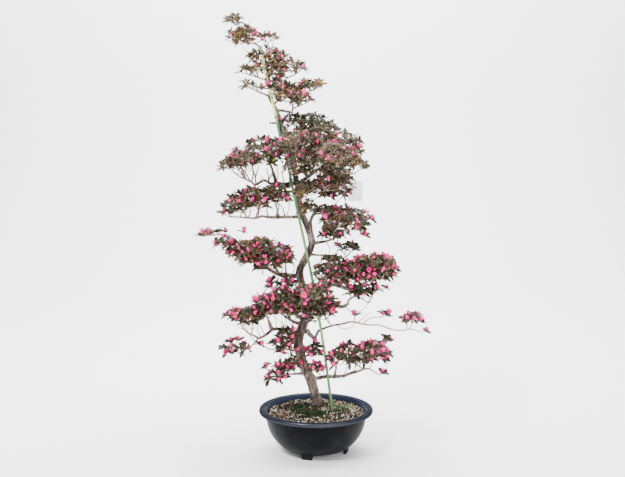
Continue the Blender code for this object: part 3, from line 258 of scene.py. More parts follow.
LIMBS = {
    "top_right": [(-134, 514, 32, 2.6), (-126, 523, 26, 2.2)],
    "upper_left": [(-124, 452, 32, 3), (-139, 453, 38, 2.4)],
    "upper_right": [(-124, 462, 32, 3.2), (-110, 468, 28, 2.8)],
    "neck_left": [(-121, 402, 33, 3.2), (-134, 409, 36, 2.6)],
    "neck_right": [
        (-104, 363, 33, 4.2), (-88, 364, 30, 4), (-75, 361, 26, 3.6), (-63, 359, 22, 3.4)],
    "neck_back": [(-111, 379, 33, 3.4), (-101, 391, 46, 2.8)],
    "dome_top": [(-66, 240, 35, 5.5), (-56, 262, 38, 5), (-42, 284, 42, 4.6), (-26, 298, 46, 4.2)],
    "dome_front_left": [(-55, 202, 35, 5.5), (-52, 214, 12, 5), (-50, 226, -12, 4.4)],
    "dome_front_right": [
        (-43, 152, 34, 6), (-26, 166, 8, 5.6), (-4, 182, -18, 5), (16, 196, -42, 4.4)],
    "dome_back_left": [(-58, 214, 35, 5.5), (-62, 228, 62, 4.8), (-68, 244, 88, 4.2)],
    "dome_back_right": [
        (-50, 184, 35, 6), (-30, 200, 64, 5.4), (-6, 216, 94, 4.8), (14, 230, 118, 4.2)],
    "dome_right": [
        (-41, 134, 33, 6.6), (-16, 140, 30, 6.2), (14, 146, 26, 5.6), (44, 154, 22, 5),
        (62, 168, 20, 4.4)],
    "dome_low": [(30, 150, 24, 4.2), (44, 143, 8, 3.8)],
    "centre_high": [(-33, 84, 31, 4), (-24, 92, 12, 3.4)],
    "left_upper": [
        (-44, 158, 34, 6.4), (-64, 156, 34, 6), (-84, 154, 31, 5.8), (-102, 157, 24, 5.4),
        (-118, 156, 16, 4.4), (-136, 165, 8, 4), (-150, 159, 0, 3.8), (-160, 153, -6, 3.5)],
    "left_upper_rise": [
        (-103, 157, 24, 4.8), (-108, 174, 18, 4.6), (-113, 192, 12, 4.2), (-119, 208, 6, 3.8)],
    "left_level": [
        (-27, 62, 30, 5.2), (-46, 61, 34, 4.8), (-70, 61, 28, 4.6), (-94, 60, 20, 4.4),
        (-118, 60, 12, 4.1), (-140, 63, 6, 3.8)],
    "left_level_rise": [(-96, 60, 20, 3.6), (-99, 77, 12, 3)],
    "right_tier": [
        (-3, 8, 26, 5.2), (-4, 30, 16, 4.9), (-5, 50, 10, 4.8), (4, 70, 4, 4.6), (22, 82, -2, 4.4),
        (42, 87, -8, 4.2), (60, 90, -12, 3.8)],
    "right_tier_back": [(21, 81, -2, 4), (30, 79, 18, 3.6)],
    "right_tier_low": [(-2, -14, 25, 5), (18, -11, 20, 4.4), (36, -8, 16, 3.9)],
    "right_loop": [(-13, -44, 25, 3.6), (14, -47, 24, 3.1), (44, -47, 22, 2.7)],
    "long_left": [
        (-35, -104, 26, 7), (-54, -107, 24, 6.6), (-76, -103, 18, 6.2), (-97, -101, 12, 5.8),
        (-113, -94, 6, 5.5), (-128, -84, 0, 5.2), (-143, -76, -6, 4.8), (-158, -70, -12, 4.4)],
    "long_left_back": [(-97, -101, 12, 4.6), (-101, -89, 30, 4)],
    "left_shoot": [(-75, -103, 18, 3), (-76, -86, 7, 2.6)],
    "left_hang": [(-88, -102, 15, 3.2), (-80, -114, 0, 2.8)],
    "left_inner": [
        (-25, -240, 31, 5.4), (-48, -239, 26, 4.8), (-64, -230, 24, 4.3), (-80, -219, 24, 3.8)],
    "lower_left": [
        (-40, -289, 34, 8), (-56, -281, 30, 7.2), (-72, -268, 26, 6.2), (-90, -258, 24, 5.4),
        (-106, -257, 22, 5), (-119, -262, 20, 4.6), (-133, -274, 17, 4.2), (-147, -282, 14, 3.8)],
    "lower_left_rise": [(-113, -259, 21, 3.8), (-120, -245, 17, 3.4), (-125, -232, 13, 3)],
    "right_mid": [
        (-23, -162, 28, 7), (0, -149, 24, 6.5), (28, -136, 16, 6.2), (55, -131, 6, 5.9),
        (78, -136, -2, 5.4), (98, -143, -6, 4.8)],
    "right_mid_rise": [(38, -134, 12, 4.6), (37, -116, -2, 4)],
    "right_mid_back": [
        (-22, -170, 28, 6), (2, -160, 54, 5.4), (28, -148, 80, 4.8), (52, -136, 104, 4.2)],
    "right_low": [
        (-20, -206, 30, 6.4), (12, -197, 24, 6), (50, -191, 18, 5.6), (84, -194, 14, 5.2),
        (97, -188, 10, 4.6)],
    "centre_front": [(-21, -186, 29, 5), (-16, -182, 8, 4.4), (-10, -178, -12, 3.9)],
    "centre_back": [(-20, -195, 30, 5), (-18, -190, 54, 4.4), (-14, -184, 76, 3.9)],
    "low_centre": [(-18, -261, 32, 6.4), (-4, -276, 28, 5.8), (6, -287, 24, 5), (9, -300, 20, 3.8)],
    "long_right": [
        (7, -284, 24, 4), (12, -272, 23, 3.8), (19, -261, 22, 3.5), (36, -254, 18, 3.3),
        (58, -247, 8, 3.1), (82, -243, 4, 3), (102, -238, 0, 2.8)],
    "bottom_left": [(-38, -316, 35, 3.8), (-56, -318, 24, 3.2), (-74, -314, 12, 2.8)],
    "bottom_left_low": [(-17, -384, 38, 4.2), (-40, -384, 22, 3.6), (-60, -385, 6, 3)],
    "bottom_right": [
        (-4, -402, 39, 7), (14, -397, 32, 6), (38, -392, 26, 5.6), (62, -392, 20, 5.2),
        (88, -390, 14, 4.8), (107, -383, 8, 4.4), (126, -378, 4, 4)],
    "bottom_mid": [(64, -391, 20, 4), (64, -380, 6, 3.4)],
    "trunk_shoot": [(-14, -378, 38, 4), (2, -374, 20, 3)],
}

# Each spray's stems, written as the limbs are, and its lobes of shoots: (across, up, depth, their
# half sizes, the shoots of the solids, the finer ones)
SPRAYS = {
    "top": (
        [[(-178, 556, 30, 2.2), (-194, 565, 28, 2), (-203, 583, 26, 1.8), (-213, 606, 24, 1.6)],
         [(-178, 556, 30, 1.8), (-200, 560, 20, 1.7), (-220, 571, 14, 1.4)]],
        [(-222, 616, 22, 17, 13, 14, 2, 5), (-188, 583, 22, 24, 16, 22, 2, 10),
         (-227, 576, 14, 14, 12, 14, 1, 4)]),
    "top_right": (
        [[(-120, 533, 20, 1.9), (-113, 547, 18, 1.5)],
         [(-120, 533, 20, 1.6), (-129, 556, 26, 1.4)]],
        [(-126, 566, 22, 24, 12, 18, 2, 5)]),
    "upper_left": (
        [[(-154, 457, 38, 2.2), (-170, 463, 34, 1.9), (-186, 468, 30, 1.5)],
         [(-154, 457, 38, 2), (-160, 478, 34, 1.8), (-164, 500, 30, 1.5)]],
        [(-186, 476, 26, 16, 13, 16, 1, 4), (-160, 482, 22, 14, 16, 18, 1, 4),
         (-164, 514, 24, 16, 11, 16, 2, 4)]),
    "upper_right": (
        [[(-92, 463, 22, 2.4), (-72, 458, 16, 2.1), (-52, 465, 12, 1.8), (-38, 474, 10, 1.5)],
         [(-92, 463, 22, 2.1), (-102, 488, 18, 1.8), (-92, 508, 14, 1.5)]],
        [(-100, 512, 12, 28, 15, 24, 2, 7), (-60, 484, 8, 36, 16, 28, 2, 11),
         (-98, 470, 0, 22, 22, 24, 2, 8)]),
    "neck_left": (
        [[(-149, 414, 34, 2.2), (-165, 422, 29, 1.8), (-180, 430, 24, 1.5)]],
        [(-181, 434, 20, 17, 12, 16, 1, 4), (-145, 430, 18, 22, 13, 20, 2, 7)]),
    "neck_right": (
        [[(-56, 368, 18, 2.8), (-57, 386, 10, 2.4), (-64, 402, 2, 1.8)],
         [(-56, 368, 18, 2.3), (-40, 376, 12, 2), (-24, 382, 6, 1.6)],
         [(-57, 386, 10, 2.1), (-34, 407, 12, 1.9), (-12, 415, 11, 1.8), (6, 424, 9, 1.5)]],
        [(-78, 408, -6, 28, 28, 28, 2, 12), (-30, 394, -4, 26, 14, 24, 2, 6),
         (-22, 428, 8, 20, 12, 18, 1, 5), (12, 434, 6, 14, 10, 14, 1, 3)]),
    "neck_back": (
        [[(-90, 402, 60, 2.2), (-80, 412, 74, 1.7)]],
        [(-76, 420, 82, 28, 24, 26, 2, 7)]),
    "dome_top": (
        [[(-8, 306, 48, 3.4), (10, 316, 46, 2.4)],
         [(-8, 306, 48, 2.8), (-30, 322, 34, 2)]],
        [(8, 334, 40, 36, 18, 42, 2, 12), (-48, 335, 30, 36, 13, 34, 2, 8),
         (42, 316, 34, 18, 12, 28, 1, 4)]),
    "dome_front_left": (
        [[(-48, 240, -36, 3.4), (-46, 258, -56, 2.4)],
         [(-48, 240, -36, 2.8), (-34, 232, -60, 2.2)]],
        [(-52, 270, -62, 42, 36, 36, 2, 17), (-32, 226, -72, 34, 24, 32, 1, 11)]),
    "dome_front_right": (
        [[(34, 212, -62, 3.4), (52, 228, -80, 2.4)],
         [(34, 212, -62, 2.8), (22, 250, -62, 2.2)]],
        [(48, 236, -86, 42, 32, 38, 2, 14), (20, 282, -58, 36, 32, 34, 2, 12)]),
    "dome_back_left": (
        [[(-72, 258, 112, 3.2), (-72, 272, 134, 2.3)]],
        [(-68, 282, 136, 44, 36, 42, 2, 13)]),
    "dome_back_right": (
        [[(30, 244, 138, 3.2), (46, 258, 156, 2.3)]],
        [(42, 270, 150, 52, 42, 46, 2, 15)]),
    "dome_right": (
        [[(78, 190, 14, 3.4), (92, 210, 8, 2.6), (104, 228, 2, 2)],
         [(78, 190, 14, 3), (76, 224, 24, 2.5), (80, 256, 26, 2)],
         [(78, 190, 14, 2.2), (100, 182, 16, 2), (122, 187, 16, 1.8), (132, 194, 16, 1.5)]],
        [(104, 226, -6, 38, 26, 44, 2, 13), (90, 276, 18, 42, 24, 44, 2, 14),
         (134, 201, 16, 16, 8, 16, 1, 4)]),
    "dome_low": (
        [[(60, 140, -2, 3), (78, 138, -10, 2.3), (90, 133, -16, 1.8)]],
        [(82, 136, -16, 24, 24, 30, 2, 9)]),
    "centre_high": (
        [[(-18, 102, -8, 2.6), (-18, 114, -26, 2)]],
        [(-34, 120, -32, 30, 24, 24, 2, 8)]),
    "left_upper": (
        [[(-173, 160, -10, 2.9), (-189, 168, -14, 2.5), (-205, 175, -17, 2.2),
          (-219, 185, -18, 1.9), (-229, 196, -18, 1.5)],
         [(-173, 160, -10, 2.4), (-168, 190, -14, 2.1), (-175, 214, -18, 1.7)],
         [(-189, 168, -14, 2.2), (-197, 187, -20, 2), (-206, 208, -24, 1.6)]],
        [(-241, 207, -18, 20, 15, 20, 1, 6), (-202, 230, -26, 28, 18, 32, 2, 12)]),
    "left_upper_rise": (
        [[(-126, 226, 2, 3), (-136, 246, 0, 2.2)],
         [(-126, 226, 2, 2.5), (-138, 238, 32, 2)]],
        [(-150, 264, -2, 40, 20, 38, 2, 13), (-114, 240, -22, 28, 24, 26, 2, 8),
         (-142, 238, 52, 36, 24, 28, 1, 8)]),
    "left_level": (
        [[(-162, 58, 0, 3.2), (-186, 59, -6, 2.7), (-212, 61, -10, 2.2), (-238, 62, -14, 1.7)],
         [(-162, 58, 0, 2.5), (-154, 84, -2, 2.2), (-160, 106, -6, 1.8)],
         [(-186, 59, -6, 2.3), (-196, 78, -14, 2), (-206, 94, -18, 1.7)]],
        [(-172, 120, -10, 40, 20, 36, 2, 15), (-222, 100, -18, 26, 18, 24, 2, 6),
         (-246, 76, -16, 13, 12, 12, 1, 3)]),
    "left_level_rise": (
        [[(-104, 94, 4, 2.4), (-111, 112, -2, 1.9)]],
        [(-112, 128, -4, 22, 18, 24, 2, 6)]),
    "long_left": (
        [[(-176, -66, -18, 3.8), (-193, -70, -22, 3), (-207, -79, -24, 2)],
         [(-176, -66, -18, 3), (-184, -42, -28, 2.6), (-202, -18, -32, 2.3), (-230, 4, -34, 2),
          (-262, 11, -34, 1.8), (-292, 9, -34, 1.6), (-316, 6, -34, 1.3)],
         [(-176, -66, -18, 2.8), (-160, -44, -32, 2.4), (-150, -24, -42, 1.9)]],
        [(-190, -40, -36, 32, 24, 32, 2, 14), (-146, -26, -44, 32, 24, 30, 2, 15),
         (-252, -14, -34, 20, 18, 20, 2, 5), (-290, 14, -34, 20, 6, 10, 1, 3),
         (-319, 8, -34, 4, 2, 3, 1, 0)]),
    "long_left_back": (
        [[(-106, -72, 46, 3), (-116, -54, 60, 2.2)]],
        [(-120, -32, 66, 42, 26, 32, 2, 9)]),
    "left_shoot": (
        [[(-77, -70, 2, 2.1), (-78, -56, -2, 1.7)]],
        [(-76, -46, -4, 11, 20, 12, 1, 4)]),
    "left_hang": (
        [[(-73, -130, -12, 2.4), (-73, -148, -20, 1.9)]],
        [(-80, -165, -30, 34, 22, 28, 2, 11), (-112, -134, -16, 18, 16, 16, 1, 5)]),
    "left_inner": (
        [[(-93, -208, 28, 2.8), (-102, -196, 34, 2.1)]],
        [(-98, -184, 42, 34, 22, 32, 2, 9)]),
    "lower_left_rise": (
        [[(-130, -216, 8, 2.5), (-134, -202, 4, 2)]],
        [(-134, -190, -2, 30, 26, 32, 2, 12)]),
    "lower_left": (
        [[(-164, -277, 10, 3), (-184, -267, 6, 2.6), (-198, -252, 2, 2.2), (-206, -236, 0, 1.8)],
         [(-155, -284, 12, 2.5), (-166, -298, 4, 2.3), (-178, -308, 0, 2), (-196, -312, -5, 1.6)]],
        [(-206, -219, -4, 40, 14, 28, 2, 12), (-166, -221, 6, 18, 12, 18, 1, 3),
         (-217, -309, -8, 34, 20, 26, 2, 10)]),
    "bottom_left": (
        [[(-96, -312, 4, 2.3), (-118, -315, 0, 2), (-134, -308, -4, 1.6)]],
        [(-84, -302, -4, 22, 20, 24, 2, 7), (-145, -303, -6, 7, 4, 5, 1, 1)]),
    "bottom_left_low": (
        [[(-80, -390, -4, 2.3), (-99, -396, -10, 1.8)],
         [(-80, -390, -4, 1.9), (-68, -376, -12, 1.6)]],
        [(-102, -396, -14, 28, 13, 22, 2, 7), (-62, -362, -14, 22, 16, 20, 2, 8),
         (-128, -368, -10, 6, 7, 6, 1, 1)]),
    "right_tier": (
        [[(80, 86, -16, 3.2), (102, 77, -20, 2.7), (124, 64, -24, 2.2), (144, 54, -26, 1.7)],
         [(80, 86, -16, 2.6), (76, 64, -28, 2.3), (74, 44, -34, 1.8)],
         [(102, 77, -20, 2.2), (126, 40, -22, 1.8), (138, 18, -20, 1.5)]],
        [(118, 56, -32, 52, 26, 38, 3, 18), (56, 62, -34, 28, 22, 28, 2, 9),
         (146, 10, -20, 5, 5, 5, 1, 0)]),
    "right_tier_back": (
        [[(46, 76, 36, 2.8), (68, 72, 54, 2.2)]],
        [(84, 64, 68, 48, 26, 34, 2, 9)]),
    "right_tier_low": (
        [[(52, -4, 12, 3), (68, 4, 8, 2.3), (76, 14, 4, 1.8)]],
        [(56, 12, 2, 30, 12, 24, 2, 7)]),
    "right_loop": (
        [[(62, -53, 20, 2.3), (80, -57, 18, 2.1), (96, -51, 16, 1.9), (107, -40, 14, 1.6)]],
        [(114, -27, 12, 12, 12, 12, 2, 2)]),
    "right_mid": (
        [[(118, -143, -10, 3.6), (140, -131, -14, 3), (164, -119, -18, 2.5),
          (188, -109, -20, 1.9)],
         [(118, -143, -10, 3), (122, -118, -18, 2.7), (130, -98, -24, 2.1)]],
        [(186, -82, -24, 42, 32, 38, 3, 18), (126, -86, -32, 32, 26, 34, 2, 13),
         (232, -89, -20, 6, 7, 7, 1, 1)]),
    "right_mid_rise": (
        [[(38, -100, -14, 3.2), (48, -84, -24, 2.3)]],
        [(54, -78, -32, 38, 26, 30, 2, 12)]),
    "right_mid_back": (
        [[(76, -124, 122, 3.2), (100, -112, 138, 2.3)]],
        [(98, -96, 134, 64, 28, 42, 2, 12)]),
    "right_low": (
        [[(104, -174, 6, 3.4), (118, -165, 2, 2.8), (136, -160, -2, 2)],
         [(118, -165, 2, 2.3), (142, -171, 6, 2.1), (160, -182, 8, 1.9), (172, -158, 8, 1.6)]],
        [(138, -151, 0, 28, 12, 24, 2, 8), (176, -146, 6, 12, 12, 12, 1, 3),
         (205, -144, 8, 5, 5, 5, 1, 0)]),
    "centre_front": (
        [[(-4, -174, -30, 3), (4, -168, -48, 2.2)]],
        [(0, -162, -58, 50, 24, 34, 2, 17)]),
    "centre_back": (
        [[(-10, -178, 96, 2.9), (-4, -170, 116, 2.2)]],
        [(-4, -160, 120, 54, 24, 40, 2, 9)]),
    "low_centre": (
        [[(9, -314, 12, 2.7), (6, -328, 6, 2)]],
        [(4, -322, 2, 22, 20, 22, 1, 8)]),
    "long_right": (
        [[(122, -238, -4, 2.5), (143, -243, -6, 2.3), (166, -246, -8, 2.2), (187, -245, -10, 2.1),
          (208, -252, -12, 2), (232, -260, -14, 1.9), (256, -261, -16, 1.8), (278, -257, -16, 1.6),
          (304, -264, -16, 1.3)],
         [(143, -243, -6, 1.7), (156, -230, -10, 1.6), (176, -224, -12, 1.4),
          (194, -223, -12, 1.3)]],
        [(283, -230, -16, 23, 16, 20, 2, 8), (316, -264, -16, 3, 2, 3, 1, 0),
         (122, -222, -4, 4, 4, 5, 1, 1), (204, -219, -12, 6, 4, 6, 1, 1)]),
    "bottom_right": (
        [[(144, -372, 0, 3.2), (160, -370, -4, 2.6), (173, -377, -8, 2.1), (187, -387, -10, 1.7)],
         [(144, -372, 0, 2.7), (146, -352, -10, 2.4), (154, -332, -18, 2.1),
          (172, -316, -24, 1.7)],
         [(144, -372, 0, 2.5), (124, -356, -8, 2.2), (108, -338, -12, 1.8)]],
        [(166, -328, -22, 50, 32, 38, 3, 17), (106, -322, -14, 30, 20, 28, 2, 8),
         (212, -290, -16, 8, 10, 8, 1, 2), (198, -384, -10, 6, 4, 5, 1, 1)]),
    "bottom_mid": (
        [[(68, -368, -6, 2.6), (66, -354, -12, 2)]],
        [(58, -356, -14, 26, 16, 24, 1, 7)]),
    "trunk_shoot": (
        [[(12, -370, 8, 2.2)]],
        [(12, -371, 2, 13, 14, 13, 1, 5)]),
}

STAKE = [
    (58.2, -492, -9), (52, -457, -7.8), (43.5, -393, -5.6), (33.5, -317, -3), (17, -217, 0.5),
    (-0.6, -117, 4), (-18.5, -31, 7), (-36.6, 50.6, 9), (-54, 132, 11.2), (-72.4, 221, 13.5),
    (-94, 301, 15.6), (-103.4, 344, 16.7), (-118, 409, 18.4), (-138.3, 495, 20.6),
    (-147.6, 548, 22),
]

# Height of each tie on the front elevation
TIES = {"tie_upper": 346.0, "tie_middle": 170.0}

# Cut stubs on the trunk
STUBS = [
    [(-84, 329, 33, 4.5), (-95, 329, 33, 3.6), (-110, 328, 31, 3.2), (-123, 328, 30, 3.1)],
    [(-62, 147, 33, 5.0), (-78, 147, 31, 3.6), (-90, 148, 30, 3.2), (-95, 148, 29, 3.0)],
    [(-58, 133, 32, 5.0), (-75, 133, 28, 3.4), (-80, 133, 27, 3.2)],
]

# More stems and lobes for the finer shoots alone, with the shoots' count last, or else the share of
# them that carry a bud
FINER = {
    "top": (
        [],
        [(-196, 560, 18, 20, 12, 16, 6)]),
    "top_right": (
        [[(-124, 540, 20, 1.5), (-132, 532, 12, 1.3), (-140, 530, 8, 1.1)]],
        [(-134, 538, 14, 16, 14, 16, 5), (-118, 520, 18, 14, 10, 14, 4)]),
    "upper_left": (
        [],
        [(-150, 492, 34, 14, 16, 18, 4), (-168, 510, 26, 14, 10, 14, 3)]),
    "upper_right": (
        [],
        [(-106, 486, 14, 18, 26, 20, 10), (-104, 448, 16, 14, 12, 16, 4)]),
    "neck_left": (
        [],
        [(-136, 424, 26, 14, 14, 16, 5)]),
    "neck_right": (
        [],
        [(-92, 424, 6, 24, 18, 22, 8), (-56, 412, 2, 24, 16, 22, 6)]),
    "dome_top": (
        [],
        [(-20, 318, 36, 36, 18, 34, 10), (24, 300, 40, 34, 20, 34, 10)]),
    "dome_front_left": (
        [[(-48, 240, -36, 2.2), (-38, 214, -44, 1.7), (-34, 190, -46, 1.3)]],
        [(-44, 206, -46, 34, 28, 26, 12), (-20, 262, -40, 26, 24, 26, 8)]),
    "dome_front_right": (
        [[(34, 212, -62, 2.2), (30, 190, -60, 1.8), (34, 168, -54, 1.4)],
         [(34, 212, -62, 2.2), (60, 200, -66, 1.8), (78, 184, -60, 1.4)]],
        [(16, 204, -58, 40, 24, 30, 12), (62, 190, -62, 34, 24, 30, 12),
         (4, 240, -50, 34, 26, 28, 10)]),
    "dome_right": (
        [],
        [(66, 232, 14, 34, 30, 36, 12), (128, 208, 4, 24, 14, 26, 6),
         (110, 252, 14, 30, 22, 34, 8)]),
    "dome_low": (
        [[(60, 140, -2, 2.2), (44, 152, -14, 1.8), (26, 160, -22, 1.4)],
         [(60, 140, -2, 2.0), (66, 160, -10, 1.6), (72, 178, -14, 1.3)]],
        [(46, 156, -44, 44, 22, 30, 16), (90, 160, -30, 26, 16, 26, 7),
         (60, 124, -30, 32, 12, 24, 7), (10, 146, -44, 28, 20, 22, 9)]),
    "centre_high": (
        [[(-18, 102, -8, 2.0), (-10, 90, -18, 1.7), (-4, 76, -24, 1.4)],
         [(-18, 114, -26, 1.8), (-12, 134, -32, 1.5), (-8, 152, -34, 1.3)]],
        [(-18, 140, -34, 34, 22, 24, 10), (-6, 82, -26, 26, 18, 20, 8)]),
    "left_upper": (
        [],
        [(-218, 212, -24, 34, 16, 26, 8), (-182, 222, -12, 26, 18, 26, 6)]),
    "left_upper_rise": (
        [],
        [(-104, 262, -14, 30, 18, 26, 8), (-132, 224, -8, 26, 16, 26, 6)]),
    "left_level": (
        [],
        [(-190, 100, -8, 34, 18, 26, 9), (-128, 126, -4, 24, 16, 22, 7),
         (-220, 80, -6, 20, 8, 16, 4), (-152, 100, -10, 42, 14, 24, 9)]),
    "left_level_rise": (
        [],
        [(-88, 118, -4, 20, 16, 20, 8), (-102, 130, -6, 26, 14, 20, 5)]),
    "right_tier": (
        [],
        [(70, 40, -34, 34, 18, 26, 8), (122, 34, -26, 30, 16, 24, 8),
         (40, 76, -30, 26, 16, 22, 5)]),
    "right_tier_low": (
        [],
        [(78, 10, 4, 22, 10, 18, 4)]),
    "right_loop": (
        [[(96, -51, 16, 1.5), (84, -36, 10, 1.3)]],
        [(84, -26, 8, 14, 10, 12, 3)]),
    "long_left": (
        [],
        [(-176, -56, -26, 34, 14, 24, 14), (-214, -32, -34, 24, 20, 22, 10),
         (-142, -54, -34, 26, 16, 22, 12), (-172, -30, -34, 34, 18, 26, 12),
         (-130, -72, -30, 28, 22, 22, 10), (-288, 8, -34, 1, 1, 1, 1, 1.0),
         (-268, 16, -33, 1, 1, 1, 1, 1.0), (-248, 16, -33, 1, 1, 1, 1, 1.0),
         (-197, 14, -32, 1, 1, 1, 1, 1.0)]),
    "left_shoot": (
        [],
        [(-76, -56, -4, 15, 30, 15, 9)]),
    "long_left_back": (
        [],
        [(-112, -56, 50, 34, 16, 26, 8)]),
    "neck_back": (
        [],
        [(-80, 414, 80, 24, 18, 22, 4)]),
    "right_tier_back": (
        [],
        [(80, 58, 66, 40, 20, 28, 6)]),
    "left_hang": (
        [[(-73, -148, -20, 1.9), (-90, -170, -28, 1.6), (-104, -186, -32, 1.3)],
         [(-73, -148, -20, 1.9), (-54, -166, -26, 1.6), (-36, -180, -30, 1.3)]],
        [(-104, -178, -32, 32, 24, 26, 12), (-60, -184, -34, 30, 24, 26, 10),
         (-76, -134, -16, 26, 14, 20, 6), (-98, -206, -30, 32, 14, 22, 6, 0.4)]),
    "left_inner": (
        [],
        [(-118, -200, 30, 28, 18, 24, 6)]),
    "lower_left_rise": (
        [],
        [(-124, -204, -4, 30, 16, 26, 8)]),
    "lower_left": (
        [],
        [(-176, -214, 0, 24, 12, 22, 5), (-196, -236, -2, 24, 10, 20, 4),
         (-188, -228, -2, 34, 20, 24, 6, 0.1), (-160, -210, -2, 26, 14, 20, 4, 0.1)]),
    "right_mid": (
        [],
        [(150, -104, -28, 36, 20, 30, 16), (204, -74, -20, 28, 26, 28, 14),
         (110, -118, -20, 24, 16, 22, 8, 0.7), (196, -104, -18, 30, 16, 24, 8),
         (118, -78, -40, 16, 10, 14, 3), (168, -66, -40, 28, 12, 16, 5)]),
    "right_mid_back": (
        [],
        [(52, -118, 104, 34, 20, 30, 9), (92, -104, 132, 50, 20, 34, 5)]),
    "centre_back": (
        [],
        [(-8, -170, 90, 30, 18, 26, 7), (-4, -166, 116, 42, 18, 32, 5)]),
    "dome_back_left": (
        [],
        [(-60, 262, 108, 30, 24, 30, 9), (-66, 276, 130, 36, 28, 34, 5)]),
    "dome_back_right": (
        [],
        [(20, 246, 116, 34, 24, 34, 9), (40, 262, 144, 42, 32, 38, 6)]),
    "right_mid_rise": (
        [],
        [(30, -96, -30, 26, 20, 22, 8), (78, -102, -30, 22, 18, 22, 6)]),
    "right_low": (
        [],
        [(118, -150, 0, 24, 14, 20, 6)]),
    "centre_front": (
        [[(4, -168, -48, 1.9), (-18, -184, -52, 1.6), (-40, -200, -50, 1.3)],
         [(4, -168, -48, 1.9), (26, -186, -50, 1.6), (42, -204, -46, 1.3)]],
        [(-28, -196, -52, 34, 26, 24, 14, 0.70), (30, -198, -50, 34, 24, 24, 12, 0.70),
         (4, -226, -44, 40, 14, 22, 7, 0.2), (-52, -188, -50, 26, 22, 22, 8, 0.5),
         (46, -190, -46, 24, 20, 22, 8, 0.5)]),
    "low_centre": (
        [],
        [(22, -318, 2, 18, 16, 16, 4)]),
    "bottom_left": (
        [],
        [(-76, -276, -2, 26, 14, 20, 8), (-66, -326, 0, 20, 14, 18, 5),
         (-92, -300, -2, 24, 14, 18, 5, 0.4)]),
    "bottom_left_low": (
        [],
        [(-84, -372, -14, 26, 14, 18, 8)]),
    "bottom_mid": (
        [],
        [(44, -352, -10, 20, 16, 18, 7), (66, -344, -12, 20, 14, 18, 4, 0.5)]),
    "bottom_right": (
        [],
        [(130, -340, -18, 34, 22, 28, 7, 0.7), (186, -322, -22, 28, 22, 24, 6, 0.7),
         (150, -320, -24, 34, 16, 24, 6, 0.4)]),
}

# Lobes of fine twigs without leaves, with the twigs' count last
BARE_TWIGS = {
    "top": [(-196, 566, 22, 24, 16, 16, 5)],
    "upper_right": [(-96, 482, 14, 26, 22, 20, 7)],
    "dome_front_left": [(-44, 200, -44, 34, 34, 22, 10)],
    "dome_front_right": [(24, 188, -54, 46, 30, 26, 16)],
    "dome_low": [(44, 152, -52, 52, 30, 26, 30), (70, 178, -50, 40, 24, 24, 14)],
    "centre_high": [(-14, 124, -30, 34, 30, 22, 10)],
    "left_upper": [(-206, 200, -20, 32, 22, 24, 10)],
    "left_upper_rise": [(-134, 238, 0, 34, 24, 24, 8)],
    "left_level": [(-176, 92, -8, 46, 22, 24, 10)],
    "long_left": [(-188, -56, -28, 40, 18, 24, 12), (-150, -44, -40, 24, 18, 20, 6)],
    "left_hang": [(-80, -178, -30, 46, 28, 24, 16)],
    "right_tier": [(84, 52, -30, 52, 28, 28, 12)],
    "right_mid": [(160, -104, -24, 48, 24, 26, 12)],
    "centre_front": [(0, -206, -48, 50, 26, 22, 30)],
    "lower_left": [(-186, -240, 0, 34, 22, 20, 8)],
    "bottom_right": [(150, -342, -16, 48, 26, 26, 8)],
}

# Share of a spray's finer shoots that carry a bud
MOST_BLOOM = 1.0
BLOOM = {
    "top": 0.30, "top_right": 0.25, "upper_left": 0.22, "upper_right": 0.40, "neck_left": 0.2,
    "neck_right": 0.16, "neck_back": 0.2, "dome_top": 0.12, "dome_front_left": 0.30,
    "dome_front_right": 0.26, "dome_back_left": 0.3, "dome_back_right": 0.3, "dome_right": 0.28,
    "dome_low": 0.18, "centre_high": 0.2, "left_upper": 0.28, "left_upper_rise": 0.22,
    "left_level": 0.30, "left_level_rise": 0.25, "right_tier": 0.36, "right_tier_back": 0.3,
    "right_tier_low": 0.2, "right_loop": 0.3, "long_left": 0.50, "right_mid_rise": 0.35,
    "centre_back": 0.5, "right_mid_back": 0.5, "long_left_back": 0.5,
    "left_hang": 0.80, "bottom_left": 0.80, "bottom_mid": 0.80, "bottom_left_low": 0.80,
}

# Stretches of the stake that stay in view: (from, to) in mm up, and how far shoots keep from them
BARE_STAKE = [(280, 560), (92, 190), (-105, 78), (-480, -215)]
STAKE_CLEARANCE = 13.0

